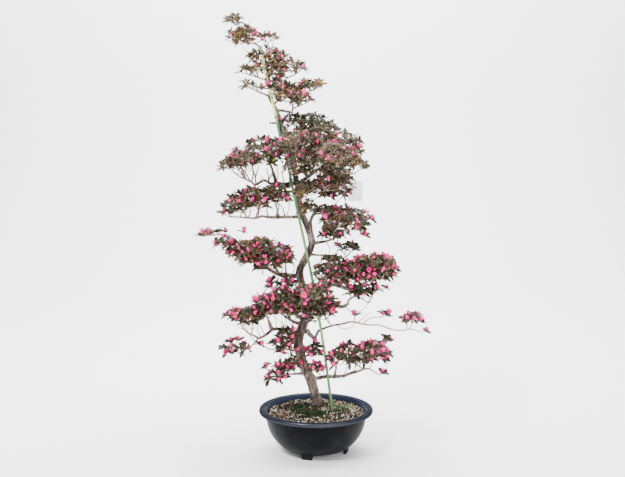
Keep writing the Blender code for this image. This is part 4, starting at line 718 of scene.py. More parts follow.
# Bare fine twigs, as (across, up, depth change from the wood they leave)
FINE_TWIGS = [
    [(95, -195, -2), (110, -207, -4), (130, -208, -6), (145, -200, -8), (155, -190, -9),
     (162, -172, -10), (168, -160, -10)],
    [(168, -160, -8), (174, -154, -9), (180, -150, -10)],
    [(75, -250, -2), (85, -256, -3), (100, -256, -5), (115, -248, -6), (122, -235, -6),
     (124, -228, -6)],
    [(130, -238, -2), (145, -225, -3), (155, -215, -4), (165, -210, -5)],
    [(65, 10, 0), (70, 0, 0), (72, -20, 0), (70, -45, 0)],
    [(45, -20, 0), (48, -30, 0), (48, -40, 0)],
    [(25, -60, 0), (27, -85, -3), (28, -110, -5), (30, -150, -8)],
    [(60, 90, 0), (70, 105, -2), (85, 118, -4), (100, 130, -6)],
    [(18, 138, 0), (16, 158, -2), (12, 178, -4), (10, 188, -5)],
    [(24, 138, 0), (26, 160, -4), (26, 182, -6)],
    [(34, 140, 0), (40, 162, -4), (44, 186, -6)],
    [(44, 142, 0), (54, 160, -2), (62, 176, -4)],
    [(-75, 61, 0), (-66, 90, -5), (-70, 118, -8)], [(-50, 61, 0), (-38, 90, -6), (-46, 118, -9)],
    [(-120, -90, 0), (-112, -62, -4), (-118, -40, -8)], [(-90, -101, 0), (-84, -75, -4),
                                                         (-92, -48, -8)],
    [(-60, -106, 0), (-52, -84, -4), (-56, -58, -7)], [(-150, -74, 0), (-142, -60, -3),
                                                       (-144, -48, -6)],
    [(-90, -258, 0), (-86, -232, -4), (-92, -206, -7)], [(-120, -262, 0), (-126, -236, -4),
                                                         (-118, -210, -8)],
    [(-147, -282, 0), (-156, -256, -4), (-150, -228, -8)], [(78, -136, 0), (72, -112, -5),
                                                            (80, -96, -8)],
    [(100, -143, 0), (94, -124, -4), (96, -106, -6)], [(140, -131, 0), (146, -116, -3),
                                                       (144, -102, -5)],
    [(60, -392, 0), (66, -378, -3), (70, -362, -6)], [(90, -390, 0), (98, -362, -5),
                                                      (94, -340, -8)],
    [(115, -381, 0), (124, -362, -4), (122, -344, -7)],
    [(-160, 530, -2), (-172, 527, -4), (-185, 530, -6), (-195, 540, -6), (-200, 552, -4)],
    [(-105, 150, 0), (-104, 120, -3), (-101, 90, -5), (-100, 60, -6)],
    [(-12, -228, 0), (-2, -218, -2), (8, -208, -4)],
    [(50, -245, 0), (46, -225, -3), (40, -205, -5)],
    [(-60, -246, 0), (-67, -226, -4), (-58, -202, -7)], [(-76, -252, 0), (-100, -228, -5),
                                                         (-128, -206, -8)],
    [(-105, -262, 0), (-102, -236, -4), (-112, -210, -8)],
    [(-135, -274, 0), (-150, -246, -5), (-172, -228, -8)],
    [(-170, -286, 0), (-184, -262, -4), (-180, -240, -7)],
    [(-45, -238, 0), (-54, -214, -5), (-72, -194, -9)],
    [(-88, -257, 0), (-74, -236, -4), (-84, -214, -6), (-80, -198, -8)],
    [(-128, -270, 0), (-116, -246, -4), (-132, -222, -7), (-140, -212, -8)],
    [(-158, -152, 0), (-150, -180, -4), (-158, -206, -6)],
]

# Stouter twigs that fork upwards from the limbs on the left, written in the same way
FORKS = [
    [(-160, 153, 0), (-163, 175, -3), (-168, 194, -5), (-173, 209, -6)],
    [(-160, 153, 0), (-162, 172, -1), (-156, 194, -2), (-152, 208, -3)],
    [(-189, 167, 0), (-194, 186, -3), (-200, 197, -4), (-207, 207, -5)],
    [(-177, 163, 0), (-185, 178, -3), (-190, 189, -5), (-187, 203, -7)],
    [(-193, 170, 0), (-202, 186, -4), (-214, 196, -6)],
    [(-125, 166, 0), (-126, 183, -3), (-131, 200, -5)],
    [(-123, 168, 0), (-115, 186, -4), (-118, 204, -7)], [(-142, 166, 0), (-144, 177, -3)],
    [(-106, 155, 0), (-98, 178, -5), (-101, 204, -8)], [(-81, 157, 0), (-84, 174, -4),
                                                        (-87, 196, -7)],
    [(-62, 156, 0), (-66, 172, -4), (-60, 190, -7)],
    [(-155, 61, 0), (-152, 81, -3), (-146, 98, -5), (-156, 110, -8)],
    [(-106, 59, 0), (-101, 72, -3), (-95, 92, -5), (-104, 114, -8), (-107, 130, -10)],
    [(-78, 61, 0), (-84, 84, -4), (-95, 99, -7)], [(-205, 62, 0), (-200, 78, -3), (-202, 94, -5)],
    [(-124, 60, 0), (-130, 80, -4), (-124, 104, -6)], [(-182, 61, 0), (-176, 76, -3),
                                                       (-180, 92, -5)],
]

# Where parted flowers, fresh yellow-green leaves and dark leaves stand: (across, up, reach, kind)
SPOTS = [
    (-230, -20, 26, "open"), (-208, -34, 22, "open"), (168, -66, 40, "open"), (118, -80, 26,
                                                                               "open"),
    (196, -86, 38, "open"), (110, -124, 28, "open"),
    (-20, -160, 22, "open"), (6, -176, 24, "open"), (24, -186, 18, "open"), (-262, 2, 16, "open"),
    (-200, 560, 24, "fresh"), (-212, -48, 30, "fresh"), (-232, -60, 24, "fresh"), (150, 40, 20,
                                                                                   "fresh"),
    (-60, 482, 20, "fresh"), (20, 210, 44, "fresh"), (60, -120, 24, "fresh"), (230, -250, 22,
                                                                               "fresh"),
    (70, 190, 44, "fresh"), (120, 205, 40, "fresh"), (-10, 165, 34, "fresh"), (-170, 208, 30,
                                                                               "fresh"),
    (4, -214, 30, "fresh"), (110, -96, 24, "fresh"), (-150, 110, 26, "fresh"),
    (-30, 338, 60, "dark"), (36, 330, 56, "dark"), (-150, 280, 44, "dark"), (-238, 588, 20, "dark"),
    (106, 296, 40, "dark"), (60, 90, 40, "dark"), (-196, 236, 30, "dark"), (-226, -300, 44, "dark"),
    (-110, -396, 40, "dark"), (60, -70, 44, "dark"),
]


def seen(across, up, depth):
    """The point at a depth that the front elevation shows at (across, up), all in millimetres."""
    forward = (AIM - EYE).normalized()
    right = Vector((1, 0, 0))
    ray = AIM + right * (across * MM) + right.cross(forward) * (up * MM) - EYE
    return EYE + ray * ((depth * MM - EYE.y) / ray.y)


def plan(across, up, depth):
    """The point for a limb, a stem or a shoot, whose depth is spread about the trunk's."""
    return seen(across, up, TRUNK_DEPTH + (depth - TRUNK_DEPTH) * DEPTH_SPREAD)


def on_soil(across, up):
    """The point of the soil's top that the front elevation shows at (across, up)."""
    ray = seen(across, up, 0) - EYE
    point = EYE + ray * ((SOIL_EDGE_Z + SOIL_MOUND / 2 - EYE.z) / ray.z)
    point.z = soil_height(math.hypot(point.x, point.y))
    return point


def along(points, place=plan):
    """(across, up, depth, radius) points as (point, radius) pairs in metres."""
    return [(place(a, u, d), r * MM) for a, u, d, r in points]


def trunk_line():
    """The trunk from its flat foot in the soil to its top."""
    points = along(TRUNK, seen)
    straight_foot = (points[0][0] + Vector((0, 0, 0.016)), points[0][1])
    return [(points[0][0] - Vector((0, 0, 0.045)), points[0][1]), straight_foot] + points[1:]


def swung(one, two, angle):
    """The direction at an angle from one direction towards another that is square to it."""
    return one * math.cos(angle) + two * math.sin(angle)


def stake_line():
    """The stake from its foot in the soil to its top."""
    points = [(seen(a, u, d), STAKE_RADIUS) for a, u, d in STAKE]
    down = (points[0][0] - points[1][0]).normalized()
    return [(points[0][0] + down * STAKE_SUNK, STAKE_RADIUS)] + points


def stem_lines(name):
    """A spray's stems as (point, radius) lists. The first goes straight on from its limb's end."""
    carrier = along(TRUNK, seen) if name == "top" else along(LIMBS[name])
    (before, _), (end, end_radius) = carrier[-2:]
    onward = (end - before).normalized()
    lines = []
    for index, points in enumerate(SPRAYS[name][0]):
        line = along(points)
        if index == 0:
            radius = min(end_radius * 0.94, line[0][1] * 1.2)
            line = [(end + onward * TOUCH_GAP, radius), (end + onward * 0.004, radius)] + line
        lines.append(line)
    return lines


def cross_plane(line, point, normal):
    """Where a line of (point, radius) pairs crosses a plane."""
    for (a, _), (b, _) in zip(line, line[1:]):
        da, db = (a - point).dot(normal), (b - point).dot(normal)
        if da * db <= 0:
            return a.lerp(b, da / (da - db))
    raise ValueError("the line does not cross the plane")


def tie_loop(up):
    """The loop of a tie round the trunk and the stake, and the way along the trunk there."""
    low = max(k for k, p in enumerate(TRUNK) if p[1] <= up)
    share = (up - TRUNK[low][1]) / (TRUNK[low + 1][1] - TRUNK[low][1])
    a, b = along(TRUNK[low:low + 2], seen)
    centre = a[0].lerp(b[0], share)
    normal = (b[0] - a[0]).normalized()
    post = cross_plane(stake_line(), centre, normal)
    trunk_ring = max(a[1], b[1]) * 1.06 + TOUCH_GAP + TIE_RADIUS
    stake_ring = STAKE_RADIUS * 1.05 + TOUCH_GAP + TIE_RADIUS
    line = post - centre
    span = line.length
    line.normalize()
    side = normal.cross(line)
    lean = math.asin((trunk_ring - stake_ring) / span)
    loop = []
    for k in range(9):
        angle = math.pi / 2 - lean + (math.pi + 2 * lean) * k / 8
        loop.append(centre + swung(line, side, angle) * trunk_ring)
    for k in range(6):
        angle = -math.pi / 2 - lean + (math.pi + 2 * lean) * k / 5
        loop.append(post + swung(line, side, angle) * stake_ring)
    return loop, normal


def soil_height(radius):
    """Height of the soil's gently mounded top."""
    return SOIL_EDGE_Z + SOIL_MOUND * math.cos(min(1.0, radius / 0.125) * math.pi / 2) ** 1.2


class Space:
    """The room that is taken: capsules, each owned by a piece."""

    def __init__(self, capsules=()):
        self.capsules = list(capsules)

    def add(self, owner, a, b, radius):
        """Take the capsule a-b."""
        self.capsules.append((owner, a, b, radius))

    def add_line(self, owner, line):
        """Take every stretch of a line of (point, radius) pairs."""
        for (a, ra), (b, rb) in zip(line, line[1:]):
            self.add(owner, a, b, max(ra, rb))

    def near(self, owner, centre, reach):
        """The capsules of other owners within reach of a point."""
        found = []
        for capsule in self.capsules:
            holder, a, b, radius = capsule
            if holder != owner and (a - centre).length < reach + radius + 0.2:
                if closest_gap(centre, centre, a, b) < reach + radius:
                    found.append(capsule)
        return found


def closest_gap(a, b, c, d):
    """Least distance between the segments a-b and c-d."""
    u, v, w = b - a, d - c, a - c
    uu, uv, vv, uw, vw = u.dot(u), u.dot(v), v.dot(v), u.dot(w), v.dot(w)
    span = uu * vv - uv * uv
    s = 0.0 if span < 1e-14 else min(1.0, max(0.0, (uv * vw - vv * uw) / span))
    t = (uv * s + vw) / vv if vv > 1e-14 else 0.0
    t = min(1.0, max(0.0, t))
    s = min(1.0, max(0.0, (uv * t - uw) / uu)) if uu > 1e-14 else 0.0
    return (w + u * s - v * t).length


def clear_of(capsules, a, b, radius):
    """True if the capsule a-b keeps off all the given ones."""
    return all(closest_gap(a, b, c, d) > radius + r + TOUCH_GAP for _, c, d, r in capsules)


def place_in_lobe(draw, lobe, taken):
    """The best of a few random places in a lobe: the one furthest from the shoots placed so far."""
    across, up, depth, half_across, half_up, half_depth = lobe[:6]
    best, best_room = None, -1.0
    for _ in range(LOBE_TRIES):
        z = draw.uniform(LOBE_BOTTOM, 1.0)
        turn = draw.uniform(0, 2 * math.pi)
        out = draw.uniform(LOBE_CORE, 1.0) ** 0.5
        ring = math.sqrt(1 - z * z)
        place = plan(across + half_across * out * ring * math.cos(turn), up + half_up * out * z,
                     depth + half_depth * out * ring * math.sin(turn))
        room = min([(place - other).length for other in taken], default=1.0)
        if room > best_room:
            best, best_room = place, room
    return best


def anchor_for(place, anchors):
    """Where a shoot's twig leaves the wood: near, low and not far along its stem."""
    def cost(anchor):
        point, reach = anchor[0], anchor[1]
        drop = max(0.0, point.z - place.z + 0.004)
        near = max(0.0, 0.012 - (place - point).length)
        return (place - point).length + 0.25 * reach + 1.6 * drop + 4 * near
    return min(anchors, key=cost)


def stem_anchors(lines, bare=BARE_STEM):
    """Points along a spray's stems, with how far each is from its stem's bare start."""
    anchors = []
    for line in lines:
        reach = 0.0
        for (a, _), (b, _) in zip(line, line[1:]):
            steps = max(1, int((b - a).length / ANCHOR_STEP))
            for k in range(1, steps + 1):
                share = k / steps * (1 - END_INSET / (b - a).length)
                anchors.append((a.lerp(b, share), reach + (b - a).length * share, b - a))
            reach += (b - a).length
    return [a for a in anchors if a[1] > bare]


def make_shoot(draw, place, anchors, middle):
    """One shoot: its twig's path, its axis, and its leaves and bud."""
    start, reach, heading = anchor_for(place, anchors)
    span = (place - start).length
    bend = start + heading.normalized() * (0.22 * span) + (place - start) * 0.34
    bend.z -= 0.05 * span
    path = [start, (start + 2 * bend + place) * 0.25, place]
    outward = (place - middle).normalized()
    axis = (place - bend).normalized() * 0.7 + Vector((0, 0, 0.75)) + outward * 0.45
    axis += Vector([draw.uniform(-0.25, 0.25) for _ in range(3)])
    return {
        "path": path, "axis": axis.normalized(), "turn": draw.uniform(0, 2 * math.pi),
        "leaves": draw.choice(LEAVES), "size": draw.uniform(0.82, 1.08),
        "bud": draw.random() < BUD_SHARE, "lift": draw.uniform(0.18, 0.55),
        "anchor": (path[1], reach + span * 0.5, place - start),
    }


def shoot_frame(shoot):
    """The directions of a shoot's whorl: across, aside and along its axis."""
    axis = shoot["axis"]
    across = axis.orthogonal().normalized()
    across = Matrix.Rotation(shoot["turn"], 3, axis) @ across
    return across, axis.cross(across), axis


def leaf_angles(shoot):
    """Each leaf's turn round the axis: one on each of the hub's corners, the rest between."""
    corners = [math.radians(120 * k) for k in range(3)]
    between = [math.radians(120 * k + 60) for k in range(shoot["leaves"] - 3)]
    return corners + between


def leaf_way(shoot, angle):
    """The direction of a leaf from its shoot's hub."""
    across, aside, axis = shoot_frame(shoot)
    return swung(swung(across, aside, angle), axis, shoot["lift"])


def fit_shoot(space, name, shoot):
    """Shorten the leaves that would cross another piece. False if the shoot has no room."""
    path, axis = shoot["path"], shoot["axis"]
    hub = path[2]
    others = space.near(name, hub, NEIGHBOUR_REACH)
    for a, b in zip(path, path[1:]):
        if not clear_of(others, a, b, TWIG_ROOM):
            return False
    if not clear_of(others, hub, hub + axis * HUB_HEIGHT, HUB_RADIUS * 1.4):
        return False
    tip = hub + axis * (BUD_LENGTH * shoot["size"])
    if shoot["bud"] and not clear_of(others, hub + axis * 0.006, tip - axis * 0.004, BUD_RADIUS):
        shoot["bud"] = False
    shoot["lengths"] = []
    for angle in leaf_angles(shoot):
        way = leaf_way(shoot, angle)
        for share in LEAF_SHARES:
            length = LEAF_LENGTH * shoot["size"] * share
            half = LEAF_HALF_WIDTH * (LEAF_TIP_SHARE + (1 - LEAF_TIP_SHARE) * share)
            if clear_of(others, hub, hub + way * length, half):
                shoot["lengths"].append(share)
                break
        else:
            return False
    return True


def claim(space, name, shoot):
    """Take the room of a shoot that has been fitted."""
    path, hub, axis = shoot["path"], shoot["path"][2], shoot["axis"]
    for a, b in zip(path, path[1:]):
        space.add(name, a, b, TWIG_ROOM)
    if shoot["bud"]:
        space.add(name, hub, hub + axis * (BUD_LENGTH * shoot["size"] - 0.004), BUD_RADIUS)
    for angle, share in zip(leaf_angles(shoot), shoot["lengths"]):
        way = leaf_way(shoot, angle)
        space.add(name, hub, hub + way * (LEAF_LENGTH * shoot["size"] * share), LEAF_HALF_WIDTH)


def wood_space():
    """The room that the trunk, the stake, the ties, the tag and every stem take."""
    space = Space()
    for name, up in TIES.items():
        loop = [(point, TIE_RADIUS) for point in tie_loop(up)[0]]
        space.add_line(name, loop + loop[:1])
    space.add_line("trunk", trunk_line())
    for points in LIMBS.values():
        space.add_line("trunk", along(points))
    space.add_line("stake", stake_line())
    eyelet = plan(*TAG_EYELET)
    space.add("hang_tag", eyelet, eyelet - Vector((0, 0, TAG_HEIGHT - 0.026)), TAG_WIDTH / 2)
    space.add("tag_thread", eyelet, plan(*TAG_TWIG), 0.003)
    for name in SPRAYS:
        for line in stem_lines(name):
            space.add_line(name, line)
    return space


def finer_stems(name):
    """A spray's stems that only the finer shoots grow from."""
    return [along(points) for points in FINER.get(name, ((), ()))[0]]


def finer_lobes(name, density):
    """A spray's lobes with the count of finer shoots that each holds."""
    lobes = [(*lobe[:6], lobe[7]) for lobe in SPRAYS[name][1]]
    lobes += FINER.get(name, ((), ()))[1]
    return [(*lobe[:6], round(lobe[6] * density), *lobe[7:]) for lobe in lobes]


def hides_stake(point):
    """True if a point stands before a stretch of the stake that the photograph shows bare."""
    forward = (AIM - EYE).normalized()
    ray = point - EYE
    spot = ray * ((AIM - EYE).length / ray.dot(forward)) - (AIM - EYE)
    across, up = spot.x / MM, spot.dot(Vector((1, 0, 0)).cross(forward)) / MM
    if not any(low < up < high for low, high in BARE_STAKE):
        return False
    line = [(a, u) for a, u, _ in STAKE]
    post = np.interp(up, [u for _, u in line], [a for a, _ in line])
    return abs(across - post) < STAKE_CLEARANCE


def grow_sprays(density):
    """The shoots of every spray: first those of the solids, in their order, then the finer ones."""
    wood = wood_space()
    solids = Space(wood.capsules)
    kept = {name: (stem_anchors(stem_lines(name)), [], []) for name in SPRAYS}
    for stage, space in enumerate((solids, wood, wood)):
        for name in SPRAYS:
            anchors, taken, shoots = kept[name]
            if stage == 1:
                anchors += stem_anchors(finer_stems(name), 0.0)
            lobes = (SPRAYS[name][1], finer_lobes(name, density), BARE_TWIGS.get(name, ()))[stage]
            for index, lobe in enumerate(lobes):
                draw = random.Random("%s %d%s" % (name, index, ("", " finer", " bare")[stage]))
                middle = plan(*lobe[:3]) - Vector((0, 0, LOBE_DROP))
                for _ in range(lobe[6]):
                    shoot = make_shoot(draw, place_in_lobe(draw, lobe, taken), anchors, middle)
                    bloom = lobe[7] if stage == 1 and len(lobe) > 7 else BLOOM.get(name, MOST_BLOOM)
                    shoot.update(finer=stage > 0, bare=stage == 2, bloom=bloom)
                    if stage and hides_stake(shoot["path"][2]):
                        continue
                    if fit_shoot(space, name, shoot):
                        if stage == 0:
                            claim(space, name, shoot)
                        taken.append(shoot["path"][2])
                        anchors.append(shoot["anchor"])
                        shoots.append(shoot)
    return {name: shoots for name, (_, _, shoots) in kept.items()}


def put_in_scene(name, data):
    """A new object in the scene, with the mesh, curve, light or camera that it shows."""
    obj = bpy.data.objects.new(name, data)
    bpy.context.scene.collection.objects.link(obj)
    return obj


class Solid:
    """Points, triangles, material slots and tones gathered for one piece."""

    def __init__(self):
        self.points, self.faces, self.slots, self.tones = [], [], [], []
        self.count = 0

    def add(self, points, faces, tones=(0.0, 0.0, 0.0), slot=0):
        """Add a closed form. A tone is (kind, along, across), each from 0 to 1, at every point."""
        points = np.asarray(points, dtype=float)
        faces = np.asarray(faces, dtype=int)
        self.points.append(points)
        self.faces.append(faces + self.count)
        self.slots.append(np.full(len(faces), slot))
        self.tones.append(np.broadcast_to(np.asarray(tones, dtype=float), (len(points), 3)))
        self.count += len(points)

    def to_object(self, name, materials, sharp=None):
        """Make the object, in the row frame, with its tones as a colour attribute."""
        points = np.concatenate(self.points) + np.array(SHIFT)
        faces = np.concatenate(self.faces)
        mesh = bpy.data.meshes.new(name)
        mesh.from_pydata(points.tolist(), [], faces.tolist())
        for material in materials:
            mesh.materials.append(material)
        mesh.polygons.foreach_set("material_index", np.concatenate(self.slots).astype(np.int32))
        tone = mesh.color_attributes.new("tone", 'FLOAT_COLOR', 'POINT')
        colours = np.ones((len(points), 4), dtype=np.float32)
        colours[:, :3] = np.concatenate(self.tones)
        tone.data.foreach_set("color", colours.ravel())
        mesh.shade_smooth()
        if sharp:
            mesh.set_sharp_from_angle(angle=math.radians(sharp))
        return put_in_scene(name, mesh)


def corners_and_faces(bm):
    """The points of a bmesh, and its faces as indices of them."""
    return [v.co[:] for v in bm.verts], [[v.index for v in f.verts] for f in bm.faces]


def finish_piece(obj, slot, *nodes):
    """Ride the piece on the part and let it stand for its CAD nodes. The slot is not used."""
    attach(obj, "root")
    if nodes:
        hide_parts(*nodes)


def smooth_line(line, spacing, closed=False):
    """A Catmull-Rom curve through (point, radius) pairs, about spacing apart."""
    rows = np.array([[*point, radius] for point, radius in line])
    if closed:
        rows = np.concatenate([rows[-1:], rows, rows[:2]])
    else:
        rows = np.concatenate([[2 * rows[0] - rows[1]], rows, [2 * rows[-1] - rows[-2]]])
    out = []
    for p0, p1, p2, p3 in zip(rows, rows[1:], rows[2:], rows[3:]):
        steps = max(1, int(round(np.linalg.norm((p2 - p1)[:3]) / spacing)))
        t = (np.arange(steps) / steps)[:, None]
        out.append(0.5 * (2 * p1 + (p2 - p0) * t + (2 * p0 - 5 * p1 + 4 * p2 - p3) * t ** 2
                          + (3 * p1 - p0 - 3 * p2 + p3) * t ** 3))
    if not closed:
        out.append(rows[-2:-1])
    rows = np.concatenate(out)
    return rows[:, :3], rows[:, 3]


def ring_frames(path):
    """Two directions across a path at each of its points, without twist."""
    heads = np.gradient(path, axis=0)
    heads /= np.linalg.norm(heads, axis=1)[:, None]
    side = np.cross(heads[0], (0.0, 0.0, 1.0) if abs(heads[0][2]) < 0.9 else (1.0, 0.0, 0.0))
    ones, twos = [], []
    for head in heads:
        side = side - head * side.dot(head)
        side /= np.linalg.norm(side)
        ones.append(side)
        twos.append(np.cross(head, side))
    return np.array(ones), np.array(twos)


def sweep(solid, line, tube, kind=0.0, relief=None, closed=False):
    """A tube through (point, radius) pairs. relief(point, radius) moves its surface out."""
    sides, spacing = tube
    path, radii = smooth_line(line, spacing, closed)
    ones, twos = ring_frames(path)
    turn = np.arange(sides) * 2 * math.pi / sides
    out = ones[:, None] * np.cos(turn)[None, :, None] + twos[:, None] * np.sin(turn)[None, :, None]
    rings = path[:, None] + out * radii[:, None, None]
    if relief:
        for k, radius in enumerate(radii):
            for j in range(sides):
                rings[k, j] += out[k, j] * relief(Vector(rings[k, j]), radius)
    total = len(path)
    points = rings.reshape(-1, 3)
    faces = []
    for k in range(total if closed else total - 1):
        low, high = k * sides, (k + 1) % total * sides
        for j in range(sides):
            n = (j + 1) % sides
            faces += [(low + j, low + n, high + n), (low + j, high + n, high + j)]
    if not closed:
        points = np.concatenate([points, path[:1], path[-1:]])
        foot, tip, last = total * sides, total * sides + 1, (total - 1) * sides
        for j in range(sides):
            n = (j + 1) % sides
            faces += [(foot, n, j), (tip, last + j, last + n)]
    share = np.repeat(np.linspace(0, 1, total), sides)
    if not closed:
        share = np.append(share, (0.0, 1.0))
    tones = np.zeros((len(points), 3))
    tones[:, 0] = kind
    tones[:, 1] = share
    solid.add(points, faces, tones)


def leaf_shape(stations, widths):
    """A leaf's four-cornered sections, as shares of its length and width, and its triangles."""
    last = 4 * (len(stations) - 2)
    faces = [(0, 2, 1), (0, 3, 2)]
    for k in range(0, last, 4):
        for j in range(4):
            a, b, c, d = k + j, k + (j + 1) % 4, k + 4 + (j + 1) % 4, k + 4 + j
            faces += [(a, b, c), (a, c, d)]
    faces += [(last + j, last + (j + 1) % 4, last + 4) for j in range(4)]
    return np.array(stations), np.array(widths), np.array(faces)


LONG_LEAF = leaf_shape([0.0, 0.26, 0.54, 0.81, 1.0], [0.16, 0.76, 1.0, 0.80, 0.0])
SHORT_LEAF = leaf_shape([0.0, 0.36, 0.76, 1.0], [0.16, 0.94, 0.90, 0.0])


def add_leaf(solid, hub, way, axis, length, half, lift, curl, roll, kind, shape=LONG_LEAF,
             slot=LEAF):
    """A thin pointed leaf, folded along its midrib, that bends down towards its tip."""
    way, axis = np.array(way), np.array(axis)
    stations, widths, faces = shape
    side = np.cross(axis, way)
    steps = np.diff(stations, prepend=0.0) * length
    tilt = lift + curl * (0.5 - stations)
    out, up = np.cumsum(steps * np.cos(tilt)), np.cumsum(steps * np.sin(tilt))
    spine = np.array(hub) + out[:, None] * way + up[:, None] * axis
    width = (widths * half)[:, None]
    over = axis[None] * np.cos(tilt)[:, None] - way[None] * np.sin(tilt)[:, None]
    lean = side[None] * math.cos(roll) + over * math.sin(roll)
    left = spine - lean * width + over * width * LEAF_FOLD
    right = spine + lean * width + over * width * LEAF_FOLD
    thick = LEAF_THICKNESS + LEAF_ROOT_THICKNESS * (1 - stations)[:, None]
    points = np.stack([left, spine - over * thick, right, spine + over * thick], axis=1)
    points = np.concatenate([points[:-1].reshape(-1, 3), spine[-1:]])
    tones = np.zeros((len(points), 3))
    tones[:, 0] = kind
    tones[:-1, 1] = np.repeat(stations[:-1], 4)
    tones[-1, 1] = 1.0
    tones[:-1, 2] = np.tile((1.0, 0.0, 1.0, 0.0), len(stations) - 1)
    solid.add(points, faces, tones, slot)


# A bud's section, as (height, width): an open one's goes back down inside it from its seventh row
BUD_SIDES = 15
BUD_TWIST = 1.1
SEAM_WIDTH = 0.84
SEAM_DROP = 0.22
CLOSED_BUD = [(0.0, 0.20), (0.07, 0.50), (0.18, 0.82), (0.34, 1.0), (0.54, 0.90), (0.74, 0.56),
              (0.91, 0.22), (1.0, 0.03)]
OPEN_BUD = [(0.0, 0.20), (0.08, 0.46), (0.22, 0.76), (0.42, 1.0), (0.62, 1.12), (0.82, 1.20),
            (1.0, 1.08), (0.86, 0.80), (0.55, 0.40)]
OPEN_BUD_FORK = 4
OPEN_BUD_INSIDE = 7


def add_bud(solid, base, axis, length, radius, turn, kind, opened):
    """A flower bud of five rolled petals: a closed spindle, or one whose petal tips have parted."""
    profile, parted = (OPEN_BUD, SEAM_DROP) if opened else (CLOSED_BUD, 0.0)
    axis = np.array(axis)
    across = np.array(Vector(axis).orthogonal().normalized())
    aside = np.cross(axis, across)
    points, tones = [], []
    for row, (height, width) in enumerate(profile):
        for k in range(BUD_SIDES):
            seam = k % 3 == 0
            angle = turn + k * 2 * math.pi / BUD_SIDES - BUD_TWIST * height
            spread = width * (SEAM_WIDTH if seam else 1.0 + 0.03 * (k % 3 == 1))
            lift = height
            if seam and row > OPEN_BUD_FORK:
                lift -= parted * (row - OPEN_BUD_FORK) / 2
            way = swung(across, aside, angle)
            points.append(np.array(base) + way * (radius * spread) + axis * (length * lift))
            inside = opened and row >= OPEN_BUD_INSIDE
            tones.append((kind, 0.35 if inside else height, 1.0 if seam else 0.0))
    points += [np.array(base) + axis * (-0.02 * length),
               np.array(base) + axis * length * (0.5 if opened else 1.0)]
    tones += [(kind, 0.0, 0.0), (kind, 0.3 if opened else 1.0, 0.0)]
    faces = []
    last = (len(profile) - 1) * BUD_SIDES
    foot, tip = last + BUD_SIDES, last + BUD_SIDES + 1
    for low in range(0, last, BUD_SIDES):
        high = low + BUD_SIDES
        for k in range(BUD_SIDES):
            n = (k + 1) % BUD_SIDES
            faces += [(low + k, low + n, high + n), (low + k, high + n, high + k)]
    for k in range(BUD_SIDES):
        n = (k + 1) % BUD_SIDES
        faces += [(foot, n, k), (tip, last + k, last + n)]
    solid.add(points, faces, tones, BUD)


class Value:
    """A shader socket in a Python expression. Each operation adds a Math node."""

    def __init__(self, paint, socket):
        self.paint, self.socket = paint, socket

    def maths(self, operation, *values):
        """A Math node on values and numbers."""
        return self.paint.node('ShaderNodeMath', {"operation": operation}, dict(enumerate(values)))

    def __add__(self, other):
        return self.maths('ADD', self, other)

    def __sub__(self, other):
        return self.maths('SUBTRACT', self, other)

    def __rsub__(self, other):
        return self.maths('SUBTRACT', other, self)

    def __mul__(self, other):
        return self.maths('MULTIPLY', self, other)

    __radd__ = __add__
    __rmul__ = __mul__

    def between(self, low, high):
        """0 below low, 1 above high, and a straight rise between."""
        return self.paint.node('ShaderNodeMapRange', {"clamp": True},
                               {"Value": self, "From Min": low, "From Max": high})


class Paint:
    """A Principled material that is built up node by node."""

    def __init__(self, name, roughness, **sockets):
        self.material = bpy.data.materials.new(name)
        self.material.use_nodes = True
        self.tree = self.material.node_tree
        self.shader = self.tree.nodes["Principled BSDF"]
        self.shader.inputs["Roughness"].default_value = roughness
        for socket, value in sockets.items():
            self.shader.inputs[socket.replace("_", " ")].default_value = value

    def node(self, kind, settings=None, inputs=None, output=0):
        """Add a node: its type, its settings, then the values or links of its sockets."""
        node = self.tree.nodes.new(kind)
        for key, value in (settings or {}).items():
            if key == "stops":
                ramp = node.color_ramp
                for place, colour in value[2:]:
                    ramp.elements.new(place)
                for element, (place, colour) in zip(ramp.elements, sorted(value)):
                    element.position = place
                    element.color = (*colour, 1.0)
            else:
                setattr(node, key, value)
        for key, value in (inputs or {}).items():
            if isinstance(value, Value):
                self.tree.links.new(value.socket, node.inputs[key])
            elif node.inputs[key].type == 'RGBA':
                node.inputs[key].default_value = (*value, 1.0)
            else:
                node.inputs[key].default_value = value
        return Value(self, node.outputs[output])

    def place(self):
        """The point on the surface, in metres."""
        return self.node('ShaderNodeTexCoord', output=3)

    def tone(self):
        """The kind, the place along and the place across that the mesh carries."""
        colour = self.node('ShaderNodeAttribute', {"attribute_name": "tone"})
        return [self.node('ShaderNodeSeparateColor', None, {0: colour}, output=k) for k in range(3)]

    def noise(self, scale, detail, stretch=None):
        """Noise from 0 to 1 at a scale in cycles a metre."""
        where = self.place()
        if stretch:
            where = self.node('ShaderNodeMapping', None, {"Vector": where, "Scale": stretch})
        return self.node('ShaderNodeTexNoise', None,
                         {"Vector": where, "Scale": scale, "Detail": detail})

    def ramp(self, value, *stops):
        """Colours by a value from 0 to 1."""
        return self.node('ShaderNodeValToRGB', {"stops": list(stops)}, {"Fac": value})

    def mix(self, share, one, two):
        """From one colour to another."""
        return self.node('ShaderNodeMix', {"data_type": 'RGBA'}, {0: share, 6: one, 7: two},
                         output=2)

    def link(self, value, socket):
        """Let a value drive one of the shader's sockets."""
        self.tree.links.new(value.socket, self.shader.inputs[socket])
        return self

    def colour(self, value):
        """Let a value drive the base colour."""
        return self.link(value, "Base Color")

    def bump(self, height, distance, strength):
        """Raise the surface by a height from 0 to 1, times a distance in metres."""
        relief = self.node('ShaderNodeBump', None,
                           {"Height": height, "Distance": distance, "Strength": strength})
        return self.link(relief, "Normal")


